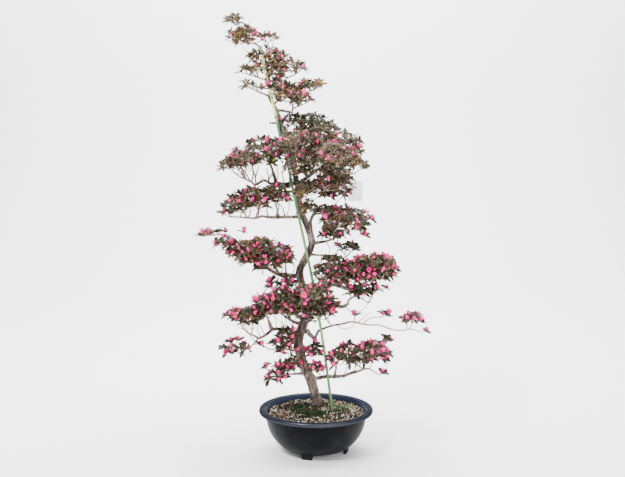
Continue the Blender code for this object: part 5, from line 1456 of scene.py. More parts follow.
def darker(colour, share):
    """A share of a colour's light."""
    return tuple(channel * share for channel in colour)


def bark_paint(old, pale):
    """Grey-brown bark with paler plates and dark crevices that run up the trunk; the dark is partly
    the bark's own and partly painted shade in its hollows.
    """
    paint = Paint("bark", 0.88, Specular_IOR_Level=0.25)
    plates = paint.noise(95, 5, (1.0, 1.0, 0.30))
    grain = paint.noise(330, 4, (1.0, 1.0, 0.28))
    stain = paint.noise(18, 3)
    red_stain, crevice_and_shade = (0.150, 0.090, 0.080), (0.030, 0.018, 0.015)
    # Darker where the plates and the grain sink in the bump: partly the bark's own colour, partly
    # painted shade
    base = paint.ramp(plates, (0.37, darker(old, 0.20)), (0.68, pale), (0.50, old))
    base = paint.mix(stain.between(0.42, 0.64) * 0.45, base, red_stain)
    base = paint.mix(grain.between(0.52, 0.38) * 0.75, base, crevice_and_shade)
    paint.colour(base)
    return paint.bump(plates * 0.6 + grain * 0.4, 0.0022, 0.8).material


def twig_paint(old, young):
    """Twigs: grey-brown where they are old and reddish where they are young."""
    paint = Paint("twig", 0.75, Specular_IOR_Level=0.3)
    kind = paint.tone()[0]
    grain = paint.noise(420, 3, (1.0, 1.0, 0.4))
    base = paint.mix(kind, old, young)
    # Darker where the grain sinks in the bump: partly the bark's own colour, partly painted shade
    base = paint.mix(grain.between(0.54, 0.34) * 0.6, base, darker(old, 0.35))
    paint.colour(base)
    return paint.bump(grain, 0.0006, 0.6).material


def leaf_paint(dark, bronze, fresh):
    """Leaves from dark olive through bronze to a few yellow-green ones, with a paler midrib."""
    paint = Paint("leaf", 0.48, Specular_IOR_Level=0.33)
    kind, length, across = paint.tone()
    tan, pale_rib = (0.230, 0.150, 0.045), (0.190, 0.180, 0.070)
    red_tip, dull_green = (0.165, 0.048, 0.032), (0.030, 0.036, 0.014)
    base = paint.ramp(kind, (0.0, darker(dark, 0.50)), (1.0, fresh), (0.42, dark),
                      (0.60, bronze), (0.80, tan))
    rib = (1 - across.between(0.0, 0.22)) * 0.45
    base = paint.mix(rib, base, pale_rib)
    tip = length.between(0.68, 1.0) * 0.55
    base = paint.mix(tip, base, red_tip)
    mottle = paint.noise(160, 2)
    base = paint.mix(mottle.between(0.52, 0.72) * 0.35, base, dull_green)
    paint.colour(base)
    return paint.bump(across, 0.0004, 0.4).material


def bud_paint(crimson, pink, salmon):
    """Petals on an olive calyx: crimson to bright pink, and pale salmon at the tree's top."""
    paint = Paint("bud", 0.46, Specular_IOR_Level=0.35)
    kind, length, seam = paint.tone()
    rose, seam_shade = (0.80, 0.040, 0.200), (0.230, 0.004, 0.030)
    light_tip, calyx = (0.86, 0.09, 0.38), (0.110, 0.075, 0.030)
    base = paint.ramp(kind, (0.0, crimson), (1.0, salmon), (0.45, pink), (0.72, rose))
    # Painted shade: the seams between the petals are grooves, darkened here
    dark = paint.mix(0.55, seam_shade, crimson)
    base = paint.mix(seam.between(0.35, 1.0) * 0.55, base, dark)
    base = paint.mix(length.between(0.62, 1.0) * 0.20, base, light_tip)
    base = paint.mix(1 - length.between(0.05, 0.20), base, calyx)
    paint.colour(base)
    return paint.material


def pot_paint(colour):
    """Dark plastic, dull with dust on the bowl and glossier on the rim, with a painted sheen on the
    rim, a painted bluish reflection inside, and painted shade low on the bowl and on the feet.
    """
    paint = Paint("pot_plastic", 0.42, Specular_IOR_Level=0.08,
                  Specular_Tint=(0.22, 0.24, 0.28, 1.0))
    grey_dust, grit = (0.045, 0.045, 0.046), (0.09, 0.088, 0.086)
    sky_reflection_blue, rim_sheen_grey = (0.024, 0.034, 0.066), (0.034, 0.037, 0.046)
    low_shade_black = (0.011, 0.013, 0.018)
    dust = paint.noise(26, 5)
    speck = paint.noise(240, 3)
    base = paint.mix(dust.between(0.50, 0.80) * 0.20, colour, grey_dust)
    base = paint.mix(speck.between(0.68, 0.76) * 0.3, base, grit)
    height = paint.node('ShaderNodeSeparateXYZ', None, {0: paint.place()}, output=2)
    flat = paint.node('ShaderNodeVectorMath', {"operation": 'MULTIPLY'},
                      {0: paint.place(), 1: (1.0, 1.0, 0.0)})
    reach = paint.node('ShaderNodeVectorMath', {"operation": 'DISTANCE'}, {0: flat, 1: SHIFT},
                       output=1)
    rim = height.between(BOWL_TOP + 0.0008, BOWL_TOP + 0.0020)
    inside = rim * (1 - reach.between(BOWL_RADIUS - 0.001, BOWL_RADIUS + 0.002))
    # Painted reflection: the inside of the wall takes a bluish reflection of the sky
    base = paint.mix(inside, base, sky_reflection_blue)
    # Painted sheen: the rim is lighter grey and metallic, which stands in for its highlight
    sheen = rim * (1 - inside)
    base = paint.mix(sheen, base, rim_sheen_grey)
    # Painted shade: darker towards the bottom of the bowl and on the feet
    base = paint.mix(height.between(0.024, 0.014), base, low_shade_black)
    paint.colour(base)
    paint.link(0.36 + dust * 0.24 - sheen * 0.16, "Roughness")
    # The metallic rim is part of the painted sheen
    paint.link(sheen * 0.85, "Metallic")
    return paint.bump(speck, 0.0003, 0.25).material


def soil_paint(colour):
    """The fine soil between the grains."""
    paint = Paint("soil", 0.95, Specular_IOR_Level=0.1)
    patch = paint.noise(60, 5)
    base = paint.mix(patch.between(0.35, 0.65), darker(colour, 0.35), colour)
    paint.colour(base)
    return paint.bump(paint.noise(420, 4), 0.002, 0.8).material


def grain_paint(pale, brown):
    """Grains of pumice, clay and bark."""
    paint = Paint("soil_grains", 0.92, Specular_IOR_Level=0.12)
    kind = paint.tone()[0]
    black, dark, clay = (0.010, 0.009, 0.008), (0.026, 0.020, 0.016), (0.30, 0.22, 0.15)
    white, rust = (0.86, 0.78, 0.66), (0.16, 0.11, 0.07)
    base = paint.ramp(kind, (0.0, black), (1.0, white), (0.18, dark), (0.36, brown), (0.58, clay),
                      (0.80, pale))
    speck = paint.noise(500, 3)
    base = paint.mix(speck.between(0.56, 0.70) * 0.5, base, rust)
    paint.colour(base)
    return paint.bump(speck, 0.0008, 0.7).material


def moss_paint(dark, fresh):
    """Moss and small weeds."""
    paint = Paint("moss", 0.85, Specular_IOR_Level=0.1)
    kind = paint.tone()[0]
    paint.colour(paint.mix(kind, dark, fresh))
    return paint.material


def stake_paint(green, yellow):
    """Green coating with painted light and shade along it: lit low down, in painted shade among
    the foliage, and bright yellow-green with painted light near its top.
    """
    paint = Paint("stake_plastic", 0.38, Specular_IOR_Level=0.5)
    height = paint.tone()[1]
    streak = paint.noise(60, 3)
    bright, leafy, shade = (0.27, 0.50, 0.14), (0.14, 0.32, 0.11), (0.07, 0.22, 0.11)
    deep_shade, top, tip = (0.08, 0.25, 0.12), (0.30, 0.55, 0.28), (0.22, 0.50, 0.30)
    # The ramp paints light and shade along the stake: a lit band low down, painted shade among the
    # foliage and painted light near the top
    base = paint.ramp(height + (streak - 0.5) * 0.03, (0.0, darker(green, 0.70)), (1.0, tip),
                      (0.17, darker(green, 0.55)), (0.20, bright), (0.24, bright),
                      (0.28, darker(green, 0.80)), (0.60, leafy), (0.70, shade), (0.80, deep_shade),
                      (0.83, yellow), (0.96, yellow), (0.98, top))
    paint.colour(base)
    return paint.bump(paint.noise(300, 2), 0.0004, 0.3).material


def plain_paint(name, colour, roughness, **sockets):
    """One colour all over."""
    return Paint(name, roughness, Base_Color=(*colour, 1.0), **sockets).material


def lumps(where, waves, height):
    """How far smooth lumps rise at a place."""
    return noise.noise(where * waves) * height


def bark_relief(strength):
    """Lumps, and ridges that run along the wood."""
    def relief(point, radius):
        squeezed = Vector((point.x * RIDGES_ACROSS, point.y * RIDGES_ACROSS,
                           point.z * RIDGES_ALONG))
        ridge = noise.noise(squeezed) * RIDGE_HEIGHT
        return radius * strength * (lumps(point, *BARK_LUMPS) + ridge)
    return relief


def flared(line, share=0.45):
    """A limb's line with its root widened, where it grows out of what carries it."""
    (root, radius), (first, first_radius) = line[:2]
    halfway = (root.lerp(first, 0.5), (radius + first_radius) / 2 * (1 + share / 3))
    return [(root, radius * (1 + share)), halfway] + line[1:]


def build_trunk(settings):
    """The trunk and its limbs, with lumps, ridges and cut stubs."""
    solid = Solid()
    knots = bark_relief(settings.relief)
    sweep(solid, trunk_line(), TRUNK_TUBE, relief=knots)
    for points in LIMBS.values():
        sweep(solid, flared(along(points)), LIMB_TUBE, relief=knots)
    for points in STUBS:
        sweep(solid, along(points, seen), STUB_TUBE, relief=knots)
    trunk = solid.to_object("trunk_and_limbs", [bark_paint(settings.old, settings.pale)])
    finish_piece(trunk, "bark", "trunk")


def wood_points():
    """Every (across, up, depth, radius) stretch of the trunk, the limbs and the stems."""
    lines = [TRUNK] + list(LIMBS.values())
    lines += [stem for stems, _ in SPRAYS.values() for stem in stems]
    return [(a, b) for line in lines for a, b in zip(line, line[1:])]


def rooted(points, girth):
    """A fine twig's (across, up, depth change) points as a line that starts in the nearest wood."""
    first = Vector(points[0][:2])
    best, near = None, 1e9
    for a, b in wood_points():
        start, span = Vector(a[:2]), Vector(b[:2]) - Vector(a[:2])
        t = min(1.0, max(0.0, (first - start).dot(span) / max(span.length_squared, 1e-9)))
        gap = (start + span * t - first).length
        if gap < near:
            near, best = gap, (*(start + span * t), a[2] + (b[2] - a[2]) * t)
    path = [best] + [(x, u, best[2] + d) for x, u, d in (points if near > 1.0 else points[1:])]
    radii = np.linspace(1.7, 0.9, len(path)) * girth * MM
    return [(plan(*point), radius) for point, radius in zip(path, radii)]


def build_fine_twigs(settings):
    """Bare twigs that curve out of the stems between the leafy shoots."""
    solid = Solid()
    for points in FINE_TWIGS:
        sweep(solid, rooted(points, 1.0), FINE_TUBE, 0.45)
    for points in FORKS:
        sweep(solid, rooted(points, 1.5), FORK_TUBE, 0.15, bark_relief(0.8))
    paint = twig_paint(settings.old, settings.young)
    finish_piece(solid.to_object("fine_twigs", [paint]), "bark")


def risen(point, start, span):
    """How far a point has risen past a height, as a share of a span."""
    return min(1.0, max(0.0, (point.z - start) / span))


def shoot_tones(draw, hub):
    """A shoot's bud tone, whether its petals have parted, how fresh and how dark its leaves are,
    and how far up among the pale buds of the tree's top it stands."""
    pale = risen(hub, *PALE_FROM)
    shares = {"open": 0.0, "fresh": 0.0, "dark": 0.0}
    for across, up, reach, kind in SPOTS:
        gap = hub - seen(across, up, TRUNK_DEPTH)
        gap.y *= 0.25
        shares[kind] = max(shares[kind], 1.0 - gap.length / (reach * MM))
    bud = 0.62 + 0.38 * draw.random() if pale > draw.random() * 0.9 + 0.05 else 0.55 * draw.random()
    return bud, draw.random() < 0.10 + 1.3 * shares["open"], shares["fresh"], shares["dark"], pale


def any_turn(draw):
    """A random turn all the way round."""
    return draw.uniform(0, 6.28)


def add_whorls(solid, draw, shoot, fresh, dark, pale):
    """A shoot's own leaves, then shorter ones that stand between them and more upright."""
    hub, axis, size = shoot["path"][2], shoot["axis"], shoot["size"]
    across, aside, _ = shoot_frame(shoot)
    leaves = [(angle, share, 0.0) for angle, share in zip(leaf_angles(shoot), shoot["lengths"])]
    room = sum(shoot["lengths"]) / len(shoot["lengths"])
    for k in range(draw.choice(SHORTER_LEAVES)):
        angle = math.radians(72 * k) + draw.uniform(-0.4, 0.4) + 0.5
        leaves.append((angle, room * draw.uniform(0.50, 0.90), draw.uniform(-0.15, 0.65)))
    mood = draw.random()
    high, warm = risen(hub, *SMALL_FROM), risen(hub, *WARM_FROM)
    breadth = 1.22 - 0.28 * high
    facing = 1.0 - 0.35 * high
    for angle, share, more in leaves:
        length = LEAF_LENGTH * size * share * (1.0 + 0.12 * pale)
        half = LEAF_HALF_WIDTH * size * (0.42 + 0.58 * share) * draw.uniform(0.9, 1.2) * breadth
        kind = (0.28 + 0.12 * warm) * mood + (0.18 + 0.16 * warm) * draw.random() + 0.10 * pale
        kind += 0.75 * fresh * draw.random()
        if draw.random() < YELLOWED_SHARE:
            kind += 0.3
        kind *= 1 - 0.75 * dark
        root = hub + axis * (0.0008 + 0.002 * (more > 0.3))
        curl, roll = draw.uniform(0.35, 0.95), draw.uniform(-0.95, 0.95) * facing
        add_leaf(solid, root, swung(across, aside, angle), axis, length, half,
                 shoot["lift"] + more, curl, roll, min(1.0, kind),
                 SHORT_LEAF if more else LONG_LEAF)


def add_tip_leaves(solid, draw, shoot, fresh):
    """The two young leaves of a shoot without a bud."""
    hub, axis, size = shoot["path"][2], shoot["axis"], shoot["size"]
    across, aside, _ = shoot_frame(shoot)
    for _ in range(2):
        way = swung(across, aside, any_turn(draw))
        kind = min(1.0, 0.6 + 0.3 * draw.random() + fresh * 0.3)
        add_leaf(solid, hub + axis * 0.002, way, axis, 0.009 * size, 0.0016, 1.15, 0.2, 0.0, kind,
                 SHORT_LEAF)


def add_buds(solid, draw, shoot, tone, opened, pale):
    """A shoot's bud, and on some a smaller one aslant beside it."""
    hub, axis = shoot["path"][2], shoot["axis"]
    across, aside, _ = shoot_frame(shoot)
    high = risen(hub, *SMALL_FROM)
    heads = [(axis, 1.0)]
    if draw.random() < TWIN_SHARE - 0.28 * high:
        way = swung(across, aside, any_turn(draw))
        aslant = (axis + way * draw.uniform(0.55, 0.85)).normalized()
        heads.append((aslant, draw.uniform(0.68, 0.92)))
    for way, scale in heads:
        scale *= shoot["size"] * (1.06 - 0.24 * high if shoot["finer"] else 1.0)
        scale *= 1.16 if opened and way is axis else 1.0
        base = hub + way * (BUD_STALK * scale)
        sweep(solid, [(hub, 0.0009), (base + way * 0.0015, 0.0011)], BUD_STALK_TUBE, 0.9)
        radius = BUD_RADIUS * scale * (1.0 - 0.22 * pale)
        add_bud(solid, base, way, (BUD_LENGTH - BUD_STALK) * scale, radius, any_turn(draw),
                min(1.0, tone), opened and way is axis)


def add_shoot(solid, draw, shoot):
    """A twig, its whorls of leaves, and the bud or buds at its tip."""
    start, bend, hub = shoot["path"]
    bud_tone, opened, fresh, dark, pale = shoot_tones(draw, hub)
    line = [(start, TWIG_RADIUS * 1.15), (bend, TWIG_RADIUS), (hub, TWIG_RADIUS * 0.85),
            (hub + shoot["axis"] * HUB_HEIGHT, HUB_RADIUS * 0.8)]
    youth = draw.random()
    sweep(solid, line, TWIG_TUBE, 0.30 * youth if shoot["bare"] else 0.55 + 0.35 * youth)
    if shoot["bare"]:
        return
    add_whorls(solid, draw, shoot, fresh, dark, pale)
    if not shoot["bud"] or (shoot["finer"] and draw.random() > shoot["bloom"]):
        add_tip_leaves(solid, draw, shoot, fresh)
    else:
        add_buds(solid, draw, shoot, bud_tone, opened, pale)


def build_sprays(settings):
    """Every spray: its stems, twigs, leaves and buds in one piece that stands for its CAD node."""
    paints = [twig_paint(settings.old, settings.young),
              leaf_paint(settings.leaf, settings.bronze, settings.fresh),
              bud_paint(settings.crimson, settings.pink, settings.salmon)]
    for name, shoots in grow_sprays(settings.density).items():
        solid = Solid()
        for line in stem_lines(name) + finer_stems(name):
            youth = min(0.6, max(0.0, (0.0030 - line[0][1]) / 0.002))
            sweep(solid, line, STEM_TUBE, youth, bark_relief(0.6))
        for index, shoot in enumerate(shoots):
            add_shoot(solid, random.Random("%s look %d" % (name, index)), shoot)
        spray = solid.to_object("foliage_" + name, paints)
        finish_piece(spray, "azalea_foliage", "spray_" + name)


def wall_radius(z):
    """Outer radius of the pot's bowl at a height, below the rim."""
    share = min(1.0, (z - FLOOR_Z) / (BOWL_TOP - FLOOR_Z))
    return BASE_RADIUS + (BOWL_RADIUS - BASE_RADIUS) * (1 - (1 - share) ** 2.15) ** 0.72


def add_turned(solid, profile, steps, height=None, place=None):
    """A closed outline of (radius, height) points, set out clockwise, turned round Z."""
    profile = np.array(profile)
    turn = np.arange(steps) * 2 * math.pi / steps
    rows = len(profile)
    points = np.zeros((rows, steps, 3))
    points[:, :, 0] = profile[:, :1] * np.cos(turn)
    points[:, :, 1] = profile[:, :1] * np.sin(turn)
    points[:, :, 2] = profile[:, 1:]
    if height is not None:
        points[:, :, 2] += height(points)
    points = points.reshape(-1, 3)
    if place is not None:
        points = np.array([place @ Vector(point) for point in points])
    faces = []
    for r in range(rows):
        a, b = r * steps, (r + 1) % rows * steps
        for k in range(steps):
            n = (k + 1) % steps
            faces += [(a + k, b + k, b + n), (a + k, b + n, a + n)]
    solid.add(points, faces)


def add_foot(solid, turn):
    """A moulded foot that narrows downwards and goes up into the bowl's curve."""
    bm = bmesh.new()
    bmesh.ops.create_cube(bm, size=1.0)
    for vert in bm.verts:
        top, outside = vert.co.z > 0, vert.co.y < 0
        narrow, shallow = (1.0, 1.0) if top else FOOT_TAPER
        vert.co.x *= FOOT_WIDTH * narrow
        vert.co.y = vert.co.y * FOOT_DEPTH * shallow - FOOT_RING
        vert.co.z = (FOOT_TOP_OUTSIDE if outside else FOOT_TOP_INSIDE) if top else 0.0
    bmesh.ops.bevel(bm, geom=bm.edges[:], offset=FOOT_EDGE, segments=3, affect='EDGES')
    bmesh.ops.transform(bm, matrix=Matrix.Rotation(turn, 4, 'Z'), verts=bm.verts)
    corners, faces = corners_and_faces(bm)
    bm.free()
    fans = [(face[0], b, c) for face in faces for b, c in zip(face[1:], face[2:])]
    solid.add(corners, fans)


def build_pot(settings):
    """The round pot with its rolled rim and moulded feet."""
    shares = [k / BOWL_ROWS for k in range(BOWL_ROWS + 1)]
    heights = [FLOOR_Z + (BOWL_TOP - FLOOR_Z) * share ** 1.6 for share in shares]
    outer = [(wall_radius(z), z) for z in reversed(heights)]
    inner = [(wall_radius(z) - WALL, z + WALL * (1 - share)) for share, z in zip(shares, heights)]
    floor = [(DRAIN_RADIUS, FLOOR_Z), (DRAIN_RADIUS, FLOOR_Z + WALL)]
    solid = Solid()
    add_turned(solid, LIP + outer + floor + inner + [(MOUTH_RADIUS, 0.1160)], POT_STEPS)
    for quarter in range(4):
        add_foot(solid, FOOT_TURN + quarter * math.pi / 2)
    pot = solid.to_object("training_pot", [pot_paint(settings.colour)], 38)
    finish_piece(pot, "pot_plastic", "pot")


def build_soil(settings):
    """The soil's uneven top, and its sides down to the floor of the pot."""
    edge = MOUTH_RADIUS - SOIL_GAP
    reaches = [edge * k / SOIL_ROWS for k in range(SOIL_ROWS + 1)]
    top = [(reach, soil_height(reach)) for reach in reaches]
    top[0] = (PINHOLE, top[0][1])
    side = [(wall_radius(z) - WALL - SOIL_GAP, z + 0.0015) for z in SOIL_SIDE]

    def uneven(points):
        rise = np.zeros(points.shape[:2])
        for r, k in np.ndindex(SOIL_ROWS + 1, SOIL_STEPS):
            where = Vector(points[r, k])
            rise[r, k] = lumps(where, *SOIL_SWELL) + lumps(where, *SOIL_CLODS)
        return rise
    solid = Solid()
    base = [(PINHOLE, side[-1][1])]
    add_turned(solid, top + side + base, SOIL_STEPS, height=uneven)
    soil = solid.to_object("soil_bed", [soil_paint(settings.colour)], 60)
    finish_piece(soil, "soil_granules", "soil")


def on_mound(x, y):
    """The soil's top at a place, with its unevenness."""
    where = Vector((x, y, soil_height(math.hypot(x, y))))
    return where + Vector((0, 0, lumps(where, *SOIL_SWELL)))


def flat_gap(x, y, point):
    """How far (x, y) is from a point, seen from above."""
    return math.hypot(x - point.x, y - point.y)


def grain_look(draw, x, y, foot, patches):
    """A grain's size and tone, which follow the patch of soil that it lies on."""
    heap, shadowed, moss = ((on_mound(x, y) - patch).length for patch in patches)
    size, kind = draw.choice(GRAIN_SIZES), draw.choice(PLAIN_KINDS)
    if heap < BARK_HEAP_REACH * draw.uniform(0.6, 1.3):
        return size * 1.15, draw.choice(BARK_KINDS)
    # A painted shadow: darker grains at the left of the soil
    if shadowed < SHADOW_PATCH_REACH * draw.uniform(0.6, 1.2):
        return size, draw.choice(SHADOW_KINDS)
    # Painted shade: darker grains round the trunk's foot and the moss
    shade = min(math.hypot(x - foot.x, (y - foot.y) * 0.8), moss * 0.9)
    if shade < FOOT_SHADE_REACH * draw.uniform(0.5, 1.3):
        return size, draw.choice(FOOT_SHADE_KINDS)
    return size, kind


def build_grains(settings):
    """Angular grains on the soil, browner at the left, with a painted shadow at the left and painted
    shade round the trunk's foot and the moss.
    """
    bm = bmesh.new()
    bmesh.ops.create_icosphere(bm, subdivisions=1, radius=1.0)
    ball, faces = (np.array(part) for part in corners_and_faces(bm))
    bm.free()
    draw = random.Random("grains")
    shape = np.random.default_rng(7)
    foot = trunk_line()[1][0]
    patches = [on_soil(*middle) for middle in (BARK_HEAP, SHADOW_PATCH, MOSS_SHADE)]
    solid = Solid()
    edge = MOUTH_RADIUS - 0.0045
    for k in range(settings.count):
        reach = edge * math.sqrt((k + 0.5) / settings.count)
        turn = k * SPIRAL_TURN + draw.uniform(-0.2, 0.2)
        x = reach * math.cos(turn) + draw.uniform(-0.0012, 0.0012)
        y = reach * math.sin(turn) + draw.uniform(-0.0012, 0.0012)
        if flat_gap(x, y, foot) < GRAINS_CLEAR_OF_TRUNK:
            continue
        size, kind = grain_look(draw, x, y, foot, patches)
        rock = ball * (1 + 0.22 * shape.standard_normal((len(ball), 1)))
        rock = rock * (size * np.array([1.0, draw.uniform(0.65, 1.0), draw.uniform(0.55, 0.85)]))
        turn = any_turn(draw)
        axis = Vector((draw.uniform(-1, 1), draw.uniform(-1, 1), draw.uniform(0.2, 1)))
        spin = np.array(Matrix.Rotation(turn, 3, axis.normalized()))
        rock = rock @ spin.T + np.array(on_mound(x, y) + Vector((0, 0, size * 0.35)))
        solid.add(rock, faces, (min(1.0, kind + draw.uniform(-0.03, 0.03)), 0.0, 0.0))
    grains = solid.to_object("soil_grains", [grain_paint(settings.pale, settings.brown)])
    grains.data.shade_flat()
    finish_piece(grains, "soil_granules")


def add_blade(solid, draw, foot, height, lean, kind):
    """A thin three-sided blade of moss."""
    turn = any_turn(draw)
    side = np.array([math.cos(turn), math.sin(turn), 0.0])
    points = [np.array(foot) + 0.0006 * np.array([math.cos(turn + k), math.sin(turn + k), -0.5])
              for k in (0.0, 2.1, 4.2)]
    points.append(np.array(foot) + side * lean * height + np.array([0, 0, height]))
    solid.add(points, [(0, 2, 1), (0, 1, 3), (1, 2, 3), (2, 0, 3)], (kind, 0.0, 0.0))


def add_tuft(solid, draw, spot):
    """A tuft of moss blades."""
    for _ in range(BLADES_IN_TUFT):
        root = spot + Vector((draw.uniform(-0.002, 0.002), draw.uniform(-0.002, 0.002), 0))
        add_blade(solid, draw, root, draw.uniform(0.003, 0.0095), draw.uniform(0.1, 0.9),
                  draw.random() ** 3.0)


def add_weed(solid, draw, spot, kind):
    """A sprig with two leaves."""
    up = Vector((draw.uniform(-0.3, 0.3), draw.uniform(-0.3, 0.3), 1)).normalized()
    turn = any_turn(draw)
    way = up.cross(Vector((math.cos(turn), math.sin(turn), 0))).normalized()
    head = spot + up * draw.uniform(0.002, 0.008)
    sweep(solid, [(spot - up * 0.001, 0.0004), (head, 0.0003)], WEED_TUBE, kind * 0.6)
    for side in (1, -1):
        length = draw.uniform(0.005, 0.0085)
        add_leaf(solid, head, way * side, up, length, 0.0018, 0.5, 0.6, 0.0,
                 min(1.0, kind + draw.uniform(-0.25, 0.2)), slot=0)


def build_moss(settings):
    """Moss round the trunk's foot and in front of it, and small weeds by the stake."""
    draw = random.Random("moss")
    solid = Solid()
    foot = trunk_line()[1][0]
    for middle, reach, tufts in MOSS_BEDS:
        centre = on_soil(*middle) if middle else foot
        for _ in range(tufts):
            turn, out = any_turn(draw), reach * draw.random() ** 0.5
            x, y = centre.x + out * math.cos(turn) * 1.25, centre.y + out * math.sin(turn)
            by_rim = math.hypot(x, y) > MOUTH_RADIUS - 0.008
            if by_rim or flat_gap(x, y, foot) < MOSS_CLEAR_OF_TRUNK:
                continue
            spot = on_mound(x, y)
            bare = noise.noise(spot * 170) < -0.02
            if not bare:
                add_tuft(solid, draw, spot)
    for middle, sprigs, kind in WEEDS:
        centre = on_soil(*middle)
        for _ in range(sprigs):
            x = centre.x + draw.uniform(-0.013, 0.013)
            y = centre.y + draw.uniform(-0.010, 0.010)
            add_weed(solid, draw, on_mound(x, y), kind)
    moss = solid.to_object("moss_and_weeds", [moss_paint(settings.dark, settings.fresh)])
    finish_piece(moss, "azalea_foliage")


def build_stake(settings):
    """The coated stake with its rows of small knobs and rounded top."""
    def knobs(point, radius):
        turn = math.atan2(point.y, point.x)
        row = math.sin(point.z * 2 * math.pi / KNOB_PITCH)
        wobble = 0.6 + 0.4 * noise.noise(point * 200 + Vector((turn, 0, 0)))
        return radius * KNOB_HEIGHT * max(0.0, row) ** 3 * wobble
    line = stake_line()
    (end, radius), before = line[-1], line[-2][0]
    onward = (end - before).normalized()
    line[-1] = (end - onward * 0.002, radius)
    line += [(end - onward * 0.0006, radius * 0.8), (end, radius * 0.35)]
    solid = Solid()
    sweep(solid, line, STAKE_TUBE, relief=knobs)
    stake = solid.to_object("garden_stake", [stake_paint(settings.green, settings.yellow)])
    finish_piece(stake, "stake_plastic", "stake")


def build_ties(settings):
    """Both wire loops, each with its twisted ends."""
    paint = plain_paint("tie_wire", settings.colour, 0.6, Metallic=0.2)
    for name, up in TIES.items():
        loop, normal = tie_loop(up)
        solid = Solid()
        sweep(solid, [(point, TIE_RADIUS) for point in loop], WIRE_TUBE, closed=True)
        knot = loop[-1]
        out = (knot - (loop[2] + loop[-3]) / 2).normalized()
        for phase in (0.0, math.pi):
            ends = []
            for k in range(TWIST_POINTS):
                turn = phase + k * TWIST_TURN
                side = swung(normal, out.cross(normal), turn)
                ends.append((knot + out * (TWIST_STEP * k) + side * TWIST_OFFSET, TWIST_RADIUS))
            sweep(solid, ends, WIRE_END_TUBE)
        finish_piece(solid.to_object(name.replace("tie", "wire"), [paint]), "tie_wire", name)


def arc(x, y, radius, start, points):
    """Points round (x, y), 15 degrees apart."""
    turns = [math.radians(start + 15 * k) for k in range(points)]
    return [(x + radius * math.cos(turn), y + radius * math.sin(turn)) for turn in turns]


def card_mesh():
    """A card with rounded corners and a hole, which lies flat round the hole's middle."""
    card = bpy.data.curves.new("card", 'CURVE')
    card.dimensions = '2D'
    card.fill_mode = 'BOTH'
    card.extrude = TAG_THICKNESS / 2 - TAG_BEVEL
    card.bevel_depth = TAG_BEVEL
    card.offset = -TAG_BEVEL
    side, high = TAG_WIDTH / 2 - TAG_CORNER, TAG_TOP - TAG_CORNER
    low = TAG_TOP - TAG_HEIGHT + TAG_CORNER
    corners = [(side, high, 0), (-side, high, 90), (-side, low, 180), (side, low, 270)]
    outline = [point for x, y, start in corners for point in arc(x, y, TAG_CORNER, start, 7)]
    for ring in (outline, arc(0, 0, TAG_HOLE_RADIUS, 0, 24)):
        spline = card.splines.new('POLY')
        spline.points.add(len(ring) - 1)
        spline.use_cyclic_u = True
        for place, (x, y) in zip(spline.points, ring):
            place.co = (x, y, 0, 1)
    rough = put_in_scene("card", card)
    graph = bpy.context.evaluated_depsgraph_get()
    mesh = bpy.data.meshes.new_from_object(rough.evaluated_get(graph))
    bpy.data.objects.remove(rough)
    mesh.name = "bare_card"
    mesh.materials.clear()
    return mesh


def build_card(settings, centre, upright):
    """The bare card, which hangs from its hole and glows with painted light."""
    mesh = card_mesh()
    bm = bmesh.new()
    bm.from_mesh(mesh)
    bmesh.ops.remove_doubles(bm, verts=bm.verts, dist=0.00001)
    bmesh.ops.recalc_face_normals(bm, faces=bm.faces)
    placed = Matrix.Translation(centre + SHIFT) @ upright
    bmesh.ops.transform(bm, matrix=placed, verts=bm.verts)
    bm.to_mesh(mesh)
    bm.free()
    # The glow is painted light, not a lamp
    paint = plain_paint("tag_card", settings.card, 0.5, Emission_Color=(1.0, 1.0, 1.0, 1.0),
                        Emission_Strength=TAG_GLOW)
    mesh.materials.append(paint)
    finish_piece(put_in_scene("bare_card", mesh), "tag_card", "hang_tag")


def build_tag(settings):
    """The card, its eyelet, and its thread over a twig."""
    centre = plan(*TAG_EYELET)
    upright = Matrix.Rotation(math.pi / 2, 4, 'X')
    build_card(settings, centre, upright)

    ring = Solid()
    add_turned(ring, EYELET_SECTION, 32, place=Matrix.Translation(centre) @ upright)
    metal = plain_paint("eyelet_metal", settings.eyelet, 0.35, Metallic=0.8)
    finish_piece(ring.to_object("eyelet", [metal], 40), "eyelet_metal", "tag_eyelet")

    string = Solid()
    twig = plan(*TAG_TWIG)
    loop = [centre + Vector((0, -0.0016, 0.0006)), centre + Vector((0.0004, -0.0026, 0.006)),
            twig + Vector((0.0005, -0.0032, -0.008)), twig + Vector((0, -0.0030, 0.0)),
            twig + Vector((0, 0, 0.0034)), twig + Vector((0, 0.0030, 0.0)),
            twig + Vector((-0.0005, 0.0020, -0.009)), centre + Vector((-0.0004, 0.0022, 0.006)),
            centre + Vector((0, 0.0010, 0.0012))]
    sweep(string, [(point, THREAD_RADIUS) for point in loop], THREAD_TUBE)
    thread = string.to_object("thread_loop", [plain_paint("thread", settings.thread, 0.8)])
    finish_piece(thread, "thread", "tag_thread")


def area_light(name, energy, size, place, aim):
    """A soft square light that faces a point."""
    data = bpy.data.lights.new(name, 'AREA')
    data.energy, data.size = energy, size
    lamp = put_in_scene(name, data)
    lamp.location = place
    lamp.rotation_euler = (Vector(aim) - Vector(place)).to_track_quat('-Z', 'Y').to_euler()


